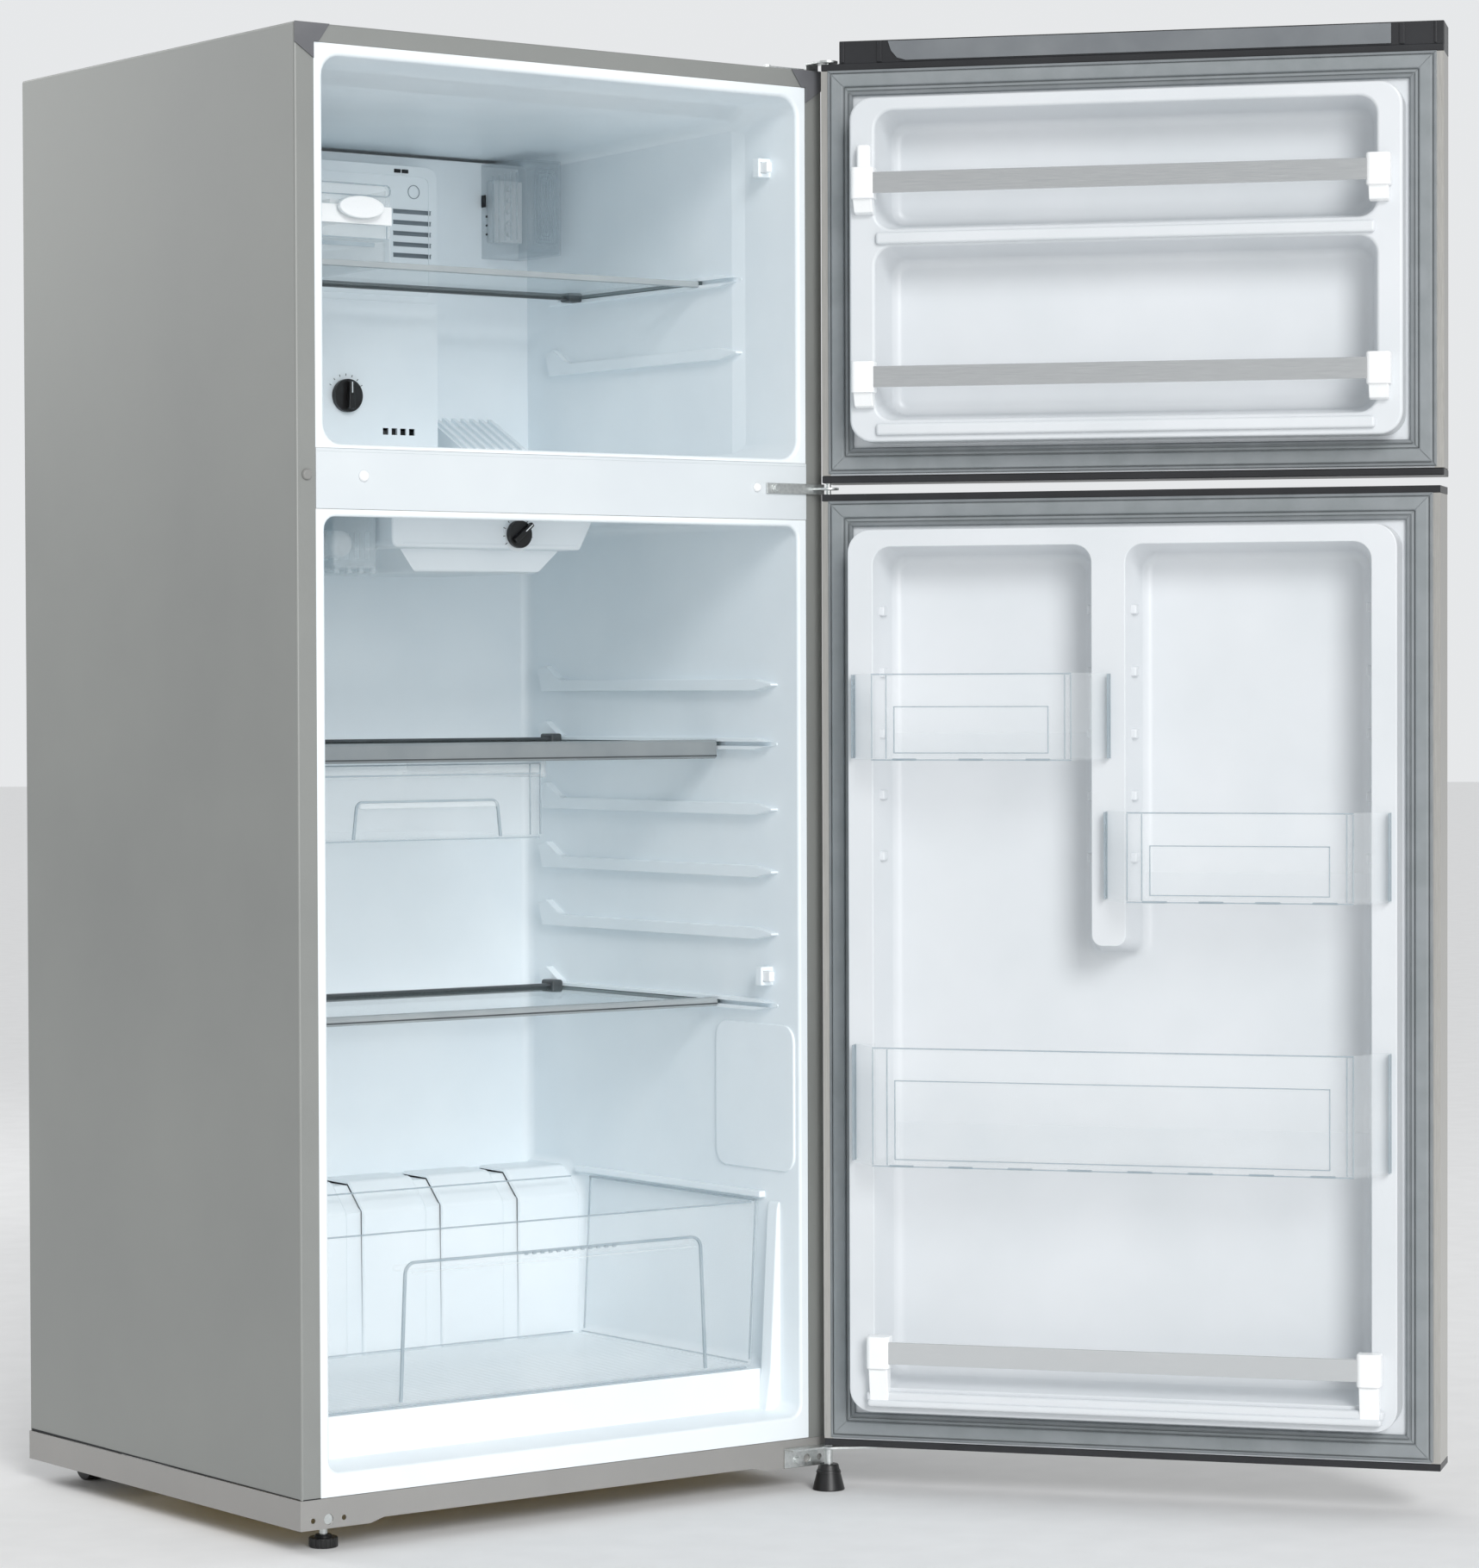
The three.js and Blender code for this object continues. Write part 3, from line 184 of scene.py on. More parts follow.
def round_edges(piece, radius, wanted, steps=5, clamp=True):
    """Rounds the edges that wanted(a, b) picks by their two ends in millimetres."""
    only(piece)
    bpy.context.tool_settings.mesh_select_mode = (False, True, False)
    mode("EDIT")
    bpy.ops.mesh.select_all(action="DESELECT")
    mode("OBJECT")
    points = [millimetres(v.co) for v in piece.data.vertices]
    picked = [edge for edge in piece.data.edges if wanted(*(points[i] for i in edge.vertices))]
    if not picked:
        raise RuntimeError("no edge was picked to round on " + piece.name)
    for edge in picked:
        edge.select = True
    mode("EDIT")
    bpy.ops.mesh.bevel(offset=radius / 1000, offset_type="OFFSET", segments=steps, profile=0.5,
                       affect="EDGES", clamp_overlap=clamp)
    mode("OBJECT")
    return piece


def along(axis, a, b):
    k = "xyz".index(axis)
    return all(abs(a[i] - b[i]) < NEAR / 2 for i in range(3) if i != k) and abs(a[k] - b[k]) > NEAR / 2


def edges_along(axis):
    return lambda a, b: along(axis, a, b)


def ends(test):
    """Picks edges of which both ends pass a test."""
    return lambda a, b: test(a) and test(b)


def under(k, level):
    return ends(lambda p: p[k] < level)


def over(k, level):
    return ends(lambda p: p[k] > level)


def applied(piece, kind, **settings):
    """Adds a modifier and applies it."""
    only(piece)
    change = piece.modifiers.new(kind, kind)
    for key, value in settings.items():
        setattr(change, key, value)
    bpy.ops.object.modifier_apply(modifier=change.name)
    return piece


def combine(piece, others, how):
    for other in others:
        applied(piece, "BOOLEAN", operation=how, solver="EXACT", object=other)
        bpy.data.objects.remove(other)
    return piece


def cut(piece, *tools):
    return combine(piece, tools, "DIFFERENCE")


def fuse(piece, *others):
    return combine(piece, others, "UNION")


def gather(*parts):
    """Joins finished parts into one object without cutting them."""
    toned_parts = [part.name for part in parts if part.data.materials]
    if toned_parts and len(toned_parts) < len(parts):
        raise RuntimeError("some of the parts joined to " + toned_parts[0] + " have no finish")
    clear()
    for part in parts:
        part.select_set(True)
    bpy.context.view_layer.objects.active = parts[0]
    if len(parts) > 1:
        bpy.ops.object.join()
    return parts[0]


def soften(piece, width, steps=2, angle=30):
    return applied(piece, "BEVEL", width=width / 1000, segments=steps, limit_method="ANGLE",
                   angle_limit=math.radians(angle))


def toned(part, tone):
    """Gives one part of a piece its own finish."""
    part.data.materials.clear()
    part.data.materials.append(FINISH[tone])
    return part


def slab(x0, x1, y0, y1, z0, z1, width, tone=None, steps=2):
    """A block with soft edges, and its own finish if one is named."""
    piece = soften(block(x0, x1, y0, y1, z0, z1), width, steps)
    return toned(piece, tone) if tone else piece


def moved(part, place, turn):
    """Turns a part that was made round the zero point and carries it to its place."""
    part.data.transform(Matrix.Translation(here(*place)) @ turn @ Matrix.Translation(-here(0, 0, 0)))
    return part


def mirrored(side, points):
    """Points of the left wall, or the same ones on the right wall."""
    return points if side == "left" else [(WIDTH - x, other) for x, other in points]


def between(side, x0, x1):
    """Two x values of the left wall, or the same ones on the right wall."""
    return (x0, x1) if side == "left" else (WIDTH - x1, WIDTH - x0)


def copied(node, width=0.0, steps=2, door=None):
    """A merged copy of a CAD node with soft edges, turned back if its door stands open."""
    only(NODES[node])
    bpy.ops.object.duplicate()
    piece = bpy.context.object
    piece.parent = None
    for key in list(piece.keys()):
        del piece[key]
    piece.data.materials.clear()
    mode("EDIT")
    bpy.ops.mesh.select_all(action="SELECT")
    bpy.ops.mesh.remove_doubles(threshold=MERGE_METRES)
    bpy.ops.mesh.dissolve_limited(angle_limit=FLAT_ANGLE)
    mode("OBJECT")
    if door:
        piece.data.transform(opened(door).inverted())
    return soften(piece, width, steps) if width else piece


def finish(piece, name, tone, node=None, door=None, slot=None):
    """Names the piece, gives it its finish, swings it with its door and hangs it on its body."""
    only(piece)
    bpy.ops.object.shade_smooth_by_angle(angle=SMOOTH_ANGLE)
    applied(piece, "WEIGHTED_NORMAL", keep_sharp=True)
    piece.name = name
    piece.data.name = name
    if not piece.data.materials:
        toned(piece, tone)
    if door:
        piece.data.transform(opened(door))
        piece.data.update()
    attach(piece, BODY_OF[node] if node else door or "cabinet")
    if node:
        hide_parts(node)
        slot = slot or next(s["material_slot"] for s in frame["record"]["subparts"] if s["node"] == node)


# ---- finishes -------------------------------------------------------------------------------------
def linear(colour):
    values = [int(colour[i:i + 2], 16) / 255 for i in (1, 3, 5)]
    return (*[v / 12.92 if v <= 0.04045 else ((v + 0.055) / 1.055) ** 2.4 for v in values], 1)


def add(tree, kind, values=None, feeds=None):
    """Adds a node, sets its input values and links its inputs to (node, output) pairs."""
    made = tree.nodes.new(kind)
    for key, value in (values or {}).items():
        made.inputs[key].default_value = value
    for key, (source, output) in (feeds or {}).items():
        tree.links.new(source.outputs[output], made.inputs[key])
    return made


def blank(name, **constants):
    """A material with its constant shader values, and the coordinates of its patterns."""
    material = bpy.data.materials.new(name)
    material.use_nodes = True
    tree = material.node_tree
    shader = tree.nodes["Principled BSDF"]
    for key, value in constants.items():
        shader.inputs[key.replace("_", " ")].default_value = value
    return material, tree, shader, add(tree, "ShaderNodeTexCoord")


def pattern(tree, place, kind, scale, **values):
    return add(tree, "ShaderNodeTex" + kind, {"Scale": scale, **values}, {"Vector": (place, "Object")})


def tint(tree, shader, source, output, low, high):
    """Base colour that follows a pattern, from one (position, colour) to another."""
    made = add(tree, "ShaderNodeValToRGB", feeds={"Fac": (source, output)})
    for stop, (at, colour) in zip(made.color_ramp.elements, (low, high)):
        stop.position = at
        stop.color = linear(colour)
    tree.links.new(made.outputs["Color"], shader.inputs["Base Color"])


def dull(tree, shader, source, output, low, high):
    """Roughness that follows a pattern."""
    made = add(tree, "ShaderNodeMapRange", {"To Min": low, "To Max": high}, {"Value": (source, output)})
    tree.links.new(made.outputs["Result"], shader.inputs["Roughness"])


def bumps(tree, shader, source, output, strength, distance):
    """Bumps that follow a pattern."""
    made = add(tree, "ShaderNodeBump", {"Strength": strength, "Distance": distance},
               {"Height": (source, output)})
    tree.links.new(made.outputs["Normal"], shader.inputs["Normal"])


def moulded(name, dark, light, roughness, grain, relief, mottle=60.0, alpha=1.0, ior=1.5, coat=0.0):
    """Injection moulded or thermoformed plastic. The mould leaves a fine even grain, given in millimetres,
    over a faint cloudiness a few centimetres wide; the colour drifts between two close shades."""
    material, tree, shader, place = blank(name, IOR=ior, Coat_Weight=coat, Alpha=alpha)
    cloud = pattern(tree, place, "Noise", 1000 / mottle, Detail=3.0)
    tint(tree, shader, cloud, "Fac", (0.3, dark), (0.7, light))
    fine = pattern(tree, place, "Noise", 1000 / grain, Detail=4.0, Roughness=0.6)
    dull(tree, shader, fine, "Fac", roughness - 0.05, roughness + 0.07)
    bumps(tree, shader, fine, "Fac", relief * 10, 0.0002)
    return material


def painted_steel(name, dark, light):
    """Pre-painted sheet steel: a satin metallic coat with an orange peel about 2 mm across, and faint
    large-scale drift where the coat is thicker."""
    material, tree, shader, place = blank(name, Metallic=0.35)
    cloud = pattern(tree, place, "Noise", 3.0, Detail=5.0, Roughness=0.55)
    tint(tree, shader, cloud, "Fac", (0.25, dark), (0.75, light))
    peel = pattern(tree, place, "Noise", 480.0, Detail=2.0)
    bumps(tree, shader, peel, "Fac", 0.22, 0.0003)
    dull(tree, shader, cloud, "Fac", 0.38, 0.52)
    return material


def brushed(name, dark, light, roughness, stretch, width=0.5, relief=0.12):
    """Brushed metal: fine scratches that run one way for centimetres, so the shine is drawn out across
    them. stretch is how far each axis is squeezed; a small number is the way the scratches run."""
    material, tree, shader, place = blank(name, Metallic=1.0)
    lie = add(tree, "ShaderNodeMapping", {"Scale": stretch}, {"Vector": (place, "Object")})
    lines = add(tree, "ShaderNodeTexNoise", {"Scale": 1000 / width, "Detail": 3.0, "Roughness": 0.7},
                {"Vector": (lie, "Vector")})
    tint(tree, shader, lines, "Fac", (0.3, dark), (0.7, light))
    dull(tree, shader, lines, "Fac", roughness - 0.07, roughness + 0.1)
    bumps(tree, shader, lines, "Fac", relief, 0.0001)
    return material


def zinc_plate(name):
    """Bright zinc plating on pressed steel: silvery with a faint spangle a few millimetres across."""
    material, tree, shader, place = blank(name, Metallic=1.0)
    spangle = pattern(tree, place, "Voronoi", 260.0)
    tint(tree, shader, spangle, "Distance", (0.0, "#cfd3d2"), (1.0, "#e6e9e8"))
    dull(tree, shader, spangle, "Distance", 0.3, 0.45)
    return material


def float_glass(name, alpha):
    """Tempered float glass: clear with a cold green-grey tint and a hard polish."""
    material, tree, shader, place = blank(name, Roughness=0.03, IOR=1.52, Alpha=alpha)
    tint(tree, shader, pattern(tree, place, "Noise", 8.0), "Fac", (0.3, "#9fb0b2"), (0.7, "#b3c2c4"))
    return material


def sponge_foam(name):
    """Poured polyurethane foam: cream, matt, with pinholes 2 to 4 mm across."""
    material, tree, shader, place = blank(name, Roughness=0.9)
    cells = pattern(tree, place, "Voronoi", 320.0)
    tint(tree, shader, cells, "Distance", (0.0, "#b59f68"), (0.6, "#dfcd9b"))
    bumps(tree, shader, cells, "Distance", 0.5, 0.001)
    return material


# How each finish is made: its maker and what the maker takes after the name.
LOOKS = {
    # Cabinet sheet, a neutral mid grey.
    "cabinet_coat": (painted_steel, "#8f918f", "#999b98"),
    "apron_coat": (painted_steel, "#9b9a98", "#a9a7a4"),
    "rear_coat": (painted_steel, "#8e8e8c", "#999896"),
    # Thermoformed polystyrene: a cold white with a soft gloss.
    "liner_white": (moulded, "#ebf2f6", "#f1f7fa", 0.34, 1.6, 0.010, 140),
    "door_liner_white": (moulded, "#d6dadd", "#dde0e3", 0.30, 1.6, 0.008, 160),
    "mullion_white": (moulded, "#d5dbdf", "#dbe1e4", 0.34, 1.6, 0.01, 140),
    # Injection moulded polypropylene for covers and end pieces.
    "cover_white": (moulded, "#e6edf1", "#edf3f6", 0.42, 0.9, 0.02, 120),
    "fitting_white": (moulded, "#f2f4f5", "#f9fafa", 0.28, 2.0, 0.01),
    # Clear crystal polystyrene of the drawers and bins: hardly any body and a hard gloss. Its cut edges
    # and lips gather light along their length; that light is painted onto them as fine grey-blue lines.
    "clear_styrene": (moulded, "#e8eef1", "#f4f7f8", 0.08, 3.0, 0.004, 60, 0.09, 1.59),
    "clear_edge": (moulded, "#9fb0b9", "#b4c1c8", 0.12, 3.0, 0.004, 60, 0.58, 1.59),
    "clear_lip": (moulded, "#e4ebee", "#f2f6f7", 0.10, 3.0, 0.004, 60, 0.24, 1.59),
    "smoked_lens": (moulded, "#b3c0c8", "#c0cbd1", 0.18, 1.5, 0.02, 60, 0.2, 1.49),
    "clear_lens": (moulded, "#cfdadf", "#dfe8ec", 0.12, 3.0, 0.01, 60, 0.30, 1.49),
    # Hard plastics.
    "charcoal_abs": (moulded, "#1f2023", "#28292c", 0.34, 0.8, 0.03),
    "panel_grey": (moulded, "#72767a", "#7d8184", 0.32, 0.8, 0.015),
    "trim_grey": (moulded, "#80878a", "#8b9193", 0.42, 0.9, 0.02),
    "trim_light": (moulded, "#9aa1a4", "#a4abad", 0.40, 0.9, 0.02),
    "trim_dark": (moulded, "#414649", "#4d5254", 0.42, 0.9, 0.02),
    "cap_grey": (moulded, "#626367", "#6d6e71", 0.5, 0.8, 0.03),
    "knob_black": (moulded, "#0c0c0d", "#161617", 0.30, 0.7, 0.03),
    "foot_black": (moulded, "#101011", "#1d1d1e", 0.38, 0.7, 0.04),
    "plug_grey": (moulded, "#8a8a88", "#959592", 0.4, 0.8, 0.02),
    # Grey that paints the shade inside the vent slots and in the gap round the screw cover.
    "vent_grey": (moulded, "#7b868d", "#88939a", 0.6, 0.9, 0.02),
    # Soft PVC gasket: matt, slightly waxy. Its darker tone is painted shade in the seal's folds.
    "gasket_pvc": (moulded, "#858b8d", "#8f9497", 0.46, 0.7, 0.02, 30),
    "gasket_fin": (moulded, "#787d80", "#83888b", 0.5, 0.7, 0.02, 30),
    "stainless": (brushed, "#c0beb9", "#d3d1cc", 0.30, (1.0, 1.0, 0.02), 0.6),
    "rail_metal": (brushed, "#d6d9da", "#e2e4e5", 0.22, (0.012, 0.012, 1.0), 0.35, 0.02),
    "fin_metal": (brushed, "#9da1a4", "#b5b9bb", 0.4, (1.0, 1.0, 0.05), 0.8),
    "zinc": (zinc_plate,),
    "shelf_glass": (float_glass, 0.24),
    # The ground edge of a glass pane shows the green-black depth of the sheet.
    "glass_edge": (moulded, "#4c5a5c", "#5c6a6c", 0.2, 1.2, 0.02),
    "foam": (sponge_foam,),
    "enamel_black": (moulded, "#141415", "#1f1f20", 0.22, 2.0, 0.03, 60, 1, 1.5, 0.4),
    # Near-black that paints the shade inside slots and openings that are not cut, and in the seam above the
    # base.
    "hole_dark": (moulded, "#17191b", "#222527", 0.8, 1.0, 0.02),
    "dial_print": (moulded, "#3c4144", "#474c4f", 0.5, 0.8, 0.01),
}
FINISH = {}


def mix_finishes():
    """Makes every finish once."""
    for name, (make, *values) in LOOKS.items():
        FINISH[name] = make(name, *values)


class CabinetLook(bpy.types.PropertyGroup):
    """Sizes of the cabinet's visible detail."""
    panel_edge: bpy.props.FloatProperty(
        name="Panel edge", description="Radius of the wrapper's folded edges", default=0.0025, unit="LENGTH")
    freezer_corner: bpy.props.FloatProperty(
        name="Freezer corner", description="Radius inside the freezer's corners", default=0.022,
        unit="LENGTH")
    fridge_corner: bpy.props.FloatProperty(
        name="Fridge corner", description="Radius inside the fresh-food corners", default=0.014,
        unit="LENGTH")
    mouth: bpy.props.FloatProperty(
        name="Mouth radius", description="Rounding of the liners' front edge", default=0.005, unit="LENGTH")


class DoorLook(bpy.types.PropertyGroup):
    """Sizes of the doors' visible detail."""
    pocket_corner: bpy.props.FloatProperty(
        name="Pocket corner", description="Radius of the storage pockets' corners", default=0.020,
        unit="LENGTH")
    rim_edge: bpy.props.FloatProperty(
        name="Rim edge", description="Rounding of the liner's raised rim", default=0.006, unit="LENGTH")


class StageLook(bpy.types.PropertyGroup):
    """Floor and light."""
    key_power: bpy.props.FloatProperty(
        name="Key light", description="Strength of the main soft light, in watts on each square metre",
        default=1.35)
    fill_power: bpy.props.FloatProperty(
        name="Fill light", description="Power of the low front light, in watts", default=52.0)


def mm(value):
    return value * 1000


class Piece(bpy.types.Operator):
    """Base of the operators that make pieces."""
    bl_idname = "refrigerator.piece"
    bl_label = "Piece"
    bl_options = {"REGISTER"}

    def execute(self, context):
        self.build(context.scene.refrigerator_cabinet, context.scene.refrigerator_door)
        return {"FINISHED"}

    def build(self, cabinet, door):
        pass


# ---- cabinet --------------------------------------------------------------------------------------
class CabinetShell(Piece):
    """Wrapper, base, mullion, corner caps and plugs"""
    bl_idname = "refrigerator.cabinet_shell"
    bl_label = "Cabinet shell"

    def build(self, cabinet, door):
        outer = lambda p: min(abs(p[0]), abs(p[0] - WIDTH)) < NEAR
        lid = lambda p: abs(p[2] - TOP) < NEAR
        front = lambda p: abs(p[1]) < NEAR
        wrapper = round_edges(copied("outer_wrapper"), mm(cabinet.panel_edge), lambda a, b: (
            (along("z", a, b) and outer(a) and front(a)) or (along("y", a, b) and outer(a) and lid(a))
            or (along("x", a, b) and lid(a) and front(a) and outer(a) and outer(b))), 4)
        finish(wrapper, "cabinet_wrapper", "cabinet_coat", "outer_wrapper")
        finish(copied("base_frame", 0.7), "base_apron", "apron_coat", "base_frame")
        # A near-black strip and corner paint the shade of the seam between the base and the wrapper.
        seam = outline("x", [(3, 59.2), (3, 60.0), (603, 61.6), (603, 59.2)], -0.5, 0.2)
        corner = block(2, 24, -0.6, 0.2, 58.9, 59.9)
        finish(gather(toned(seam, "hole_dark"), toned(corner, "hole_dark")), "base_seam", "hole_dark",
               slot="black_plastic")
        screw = soften(rod("y", 34, 1.4, 36, 1.6, 5.9, sides=32), 0.4)
        finish(screw, "apron_screw", "zinc", slot="zinc_steel")
        ridge = slab(26, WIDTH - 26, -1.5, -0.9, 1183.5, 1186, 0.25)
        finish(gather(copied("mullion_cover", 0.6), ridge), "mullion_front", "mullion_white", "mullion_cover")
        for side in ("left", "right"):
            node = "top_corner_cap_" + side
            finish(copied(node, 0.4), "corner_cap_" + side + "_cover", "cap_grey", node)
        for name, x, face, radius, tone in (
            ("flange_plug_left", 13, -0.2, 6.5, "plug_grey"),
            ("mullion_plug_left", 84, -1.2, 6.5, "fitting_white"),
            ("flange_plug_right", WIDTH - 96, -1.2, 5.5, "fitting_white"),
        ):
            plug = rod("y", x, face - 3.2, PLUG_LEVEL, 3.0, radius - 1.5, radius, sides=32)
            finish(soften(plug, 0.9, 3), name, tone)


class Hinges(Piece):
    """Hinge brackets, their screws and the pin heads"""
    bl_idname = "refrigerator.hinges"
    bl_label = "Hinges"

    def build(self, cabinet, door):
        for node in ("top_hinge_bracket", "middle_hinge_bracket", "bottom_hinge_bracket"):
            finish(copied(node, 0.35), node + "_plate", "zinc", node)
        screws = [("y", 640, -4.0, PLUG_LEVEL), ("y", 667.5, -2.2, 35), ("z", 655, 30, 1642.9),
                  ("z", 690, 48, 1642.9)]
        for number, (axis, x, y, z) in enumerate(screws, 1):
            if axis == "y":
                flange = rod("y", x, y - 1.2, z, 1.2, 5.6, sides=32)
                head = rod("y", x, y - 4.4, z, 3.4, 4.2, sides=6)
            else:
                flange = rod("z", x, y, z, 1.2, 6.2, sides=32)
                head = rod("z", x, y, z + 1.0, 3.0, 4.6, sides=6)
            finish(soften(gather(flange, head), 0.35), "hinge_screw_%d" % number, "zinc")


def scalloped_knob(radius, low, high, lobes):
    """A round knob whose rim is cut with finger grooves."""
    knob = soften(rod("z", 0, 0, low, high - low, radius, sides=64), 1.2, 3)
    away, groove = radius * 1.06, radius * 0.11
    for k in range(lobes):
        a = 2 * math.pi * k / lobes
        cut(knob, rod("z", away * math.cos(a), away * math.sin(a), low - 1, high - low + 2, groove, sides=14))
    return knob


class Feet(Piece):
    """Levelling feet and rear rollers"""
    bl_idname = "refrigerator.feet"
    bl_label = "Feet"

    def build(self, cabinet, door):
        knob = toned(scalloped_knob(15.8, 0.0, 11, 16), "foot_black")
        collar = toned(soften(rod("z", 0, 0, 10, 4, 10.5, 8.5, sides=40), 0.6), "foot_black")
        stem = toned(soften(rod("z", 0, 0, 13, 44, 4.4, sides=24), 0.4), "zinc")
        threads = [toned(rod("z", 0, 0, 15.5 + 2.5 * k, 1.2, 4.9, sides=24), "zinc") for k in range(14)]
        left = gather(knob, collar, stem, *threads)
        left.location = Vector((48, 34, 0)) / 1000
        settle(left)
        finish(left, "left_levelling_foot", "foot_black", "left_foot")
        cone = toned(soften(rod("z", 701, -19, 0, 30, 18.9, 11.2, sides=48), 1.4, 3), "foot_black")
        ring = toned(soften(rod("z", 701, -19, 20, 3, 14.6, 13.6, sides=48), 0.5), "foot_black")
        stem = toned(rod("z", 701, -19, 29, 18, 4.9, sides=24), "zinc")
        finish(gather(cone, ring, stem), "right_levelling_foot", "foot_black", "right_foot")
        for node in ("rear_roller_left", "rear_roller_right"):
            finish(copied(node, 1.2, 3), node + "_wheel", "foot_black", node)


def liner_shell(outer, inner, low, high, corner, mouth):
    """A liner: a shell with its front flange, a cavity with rounded corners, and a rounded mouth.
    The outlines run as (y, z); low and high are the bottom and top of the flange."""
    shell = outline("x", outer, *LINER)
    fuse(shell, block(FLANGE, WIDTH - FLANGE, 0.3, 2.3, low, high))
    cavity = outline("x", inner, *ROOM)
    side = lambda p: min(abs(p[0] - x) for x in ROOM) < NEAR
    round_edges(cavity, corner, lambda a, b: (
        side(a) and side(b) and abs(a[0] - b[0]) < NEAR and not (a[1] < -4 and b[1] < -4)), 6, clamp=False)
    cut(shell, cavity)
    inside = lambda p: 0.2 <= p[1] <= 0.4 and 30 < p[0] < 681 and low + 1.2 < p[2] < high - 3.7
    return round_edges(shell, mouth, ends(inside), 5)


def rail(side, centre, front, rear, hooked, groove, height=14.0):
    """A moulded shelf rail on one wall, whose rear end can rise into a hook."""
    low, high = centre - height / 2, centre + height / 2
    points = [(front, centre - 1.2), (front + 34, low), (rear, low)]
    if hooked:
        points += [(rear + 10, high + 14), (rear - 8, high + 18), (rear - 32, high + 4), (rear - 42, high)]
    else:
        points.append((rear, high))
    points += [(front + 34, high), (front, centre + 1.2)]
    bar = soften(outline("x", points, *between(side, 34, 46)), 3.2, 4, 25)
    if groove:
        cut(bar, block(*between(side, 37.4, 60), front - 5, rear - 20, centre - 2.5, centre + 2.5))
    return bar


def switch_housing(z):
    """The white frame of a door switch on the right wall."""
    housing = slab(658, 676, 50.5, 62.8, z, z + 22, 1.5, None, 3)
    return cut(housing, block(660.7, 669.3, 40, 60, z + 4.7, z + 17.3))


class FreezerLiner(Piece):
    """White liner of the freezer with its rails and switch housing"""
    bl_idname = "refrigerator.freezer_liner"
    bl_label = "Freezer liner"

    def build(self, cabinet, door):
        outer = [(0.3, 1190), (576, 1190), (576, 1585), (0.3, 1609)]
        inner = [(-5, 1192), (574, 1192), (574, 1582), (112, 1592), (88, 1605), (-5, 1607.2)]
        shell = liner_shell(outer, inner, 1187.3, 1619.7, mm(cabinet.freezer_corner), mm(cabinet.mouth))
        rails = []
        for side in ("left", "right"):
            step = mirrored(side, [(34, 98), (35.8, 98), (39, 122), (39, 574.5), (34, 574.5)])
            rails += [soften(outline("z", step, 1190, 1588), 2.4, 4, 5),
                      rail(side, 1406.5, 105, 490, False, True), rail(side, 1321, 105, 490, True, False)]
        finish(gather(shell, *rails, switch_housing(1520)), "freezer_liner_moulding", "liner_white",
               "freezer_liner")


class FridgeLiner(Piece):
    """White liner of the fresh-food space with sill, rails, drawer rails and hump"""
    bl_idname = "refrigerator.fridge_liner"
    bl_label = "Fresh-food liner"

    def build(self, cabinet, door):
        def profile(grow, front):
            floor = [(52, 90), (60, 135), (440, 135), (440, 305), (470, 335), (554, 335)]
            return [(front, 84 - grow), *[(y + grow, z - grow) for y, z in floor],
                    (554 + grow, 1126 + grow), (30, 1126 + grow), (4, 1114 + grow), (front, 1114 + grow)]

        mouth = 4
        shell = liner_shell(profile(2, 0.3), profile(0, -5), 59.3, 1121.7, mm(cabinet.fridge_corner), mouth)
        rails = []
        for side in ("left", "right"):
            for centre in (559, 642, 714, 787, 863, 932):
                rails.append(rail(side, centre, 40, 510, True, centre in (559, 863)))
            rails.append(slab(*between(side, 34, 44), 67, 445, 333, 341, 2.0, None, 3))
            plate = block(*between(side, 35, 38.6), 8.5, 160, 366, 537)
            rails.append(soften(round_edges(plate, 20, edges_along("x"), 6), 1.8, 3, 40))
            column = mirrored(side, [(34, 70), (58, 84), (50, 136), (40, 322), (37.5, 330), (34, 331)])
            rails.append(soften(outline("y", column, 38.5, 58), 3.0, 4, 40))
        bulges = []
        hump = [(441, 134), (433, 134), (433, 302), (437, 310), (464, 338), (471, 341), (522, 341),
                (530, 334), (470, 333), (441, 305)]
        for k in range(5):
            right = ROOM[1] - 8 - 112 * k
            bulges.append(soften(outline("x", hump, right - 90, right), 5.5, 4, 30))
        finish(gather(shell, *rails, *bulges, switch_housing(582)), "fridge_liner_moulding", "liner_white",
               "fridge_liner")


def dial_scale(name, x, y, z, radius, angles, lengths, depth):
    """Printed ticks round a dial, one at each angle, whose lengths take turns."""
    marks = []
    for k, angle in enumerate(angles):
        a = math.radians(angle)
        tick = block(-0.4, 0.4, 0, depth, 0, lengths[k % len(lengths)])
        place = (x + radius * math.cos(a), y, z + radius * math.sin(a))
        marks.append(moved(tick, place, Matrix.Rotation(math.pi / 2 - a, 4, "Y")))
    finish(gather(*marks), name, "dial_print")


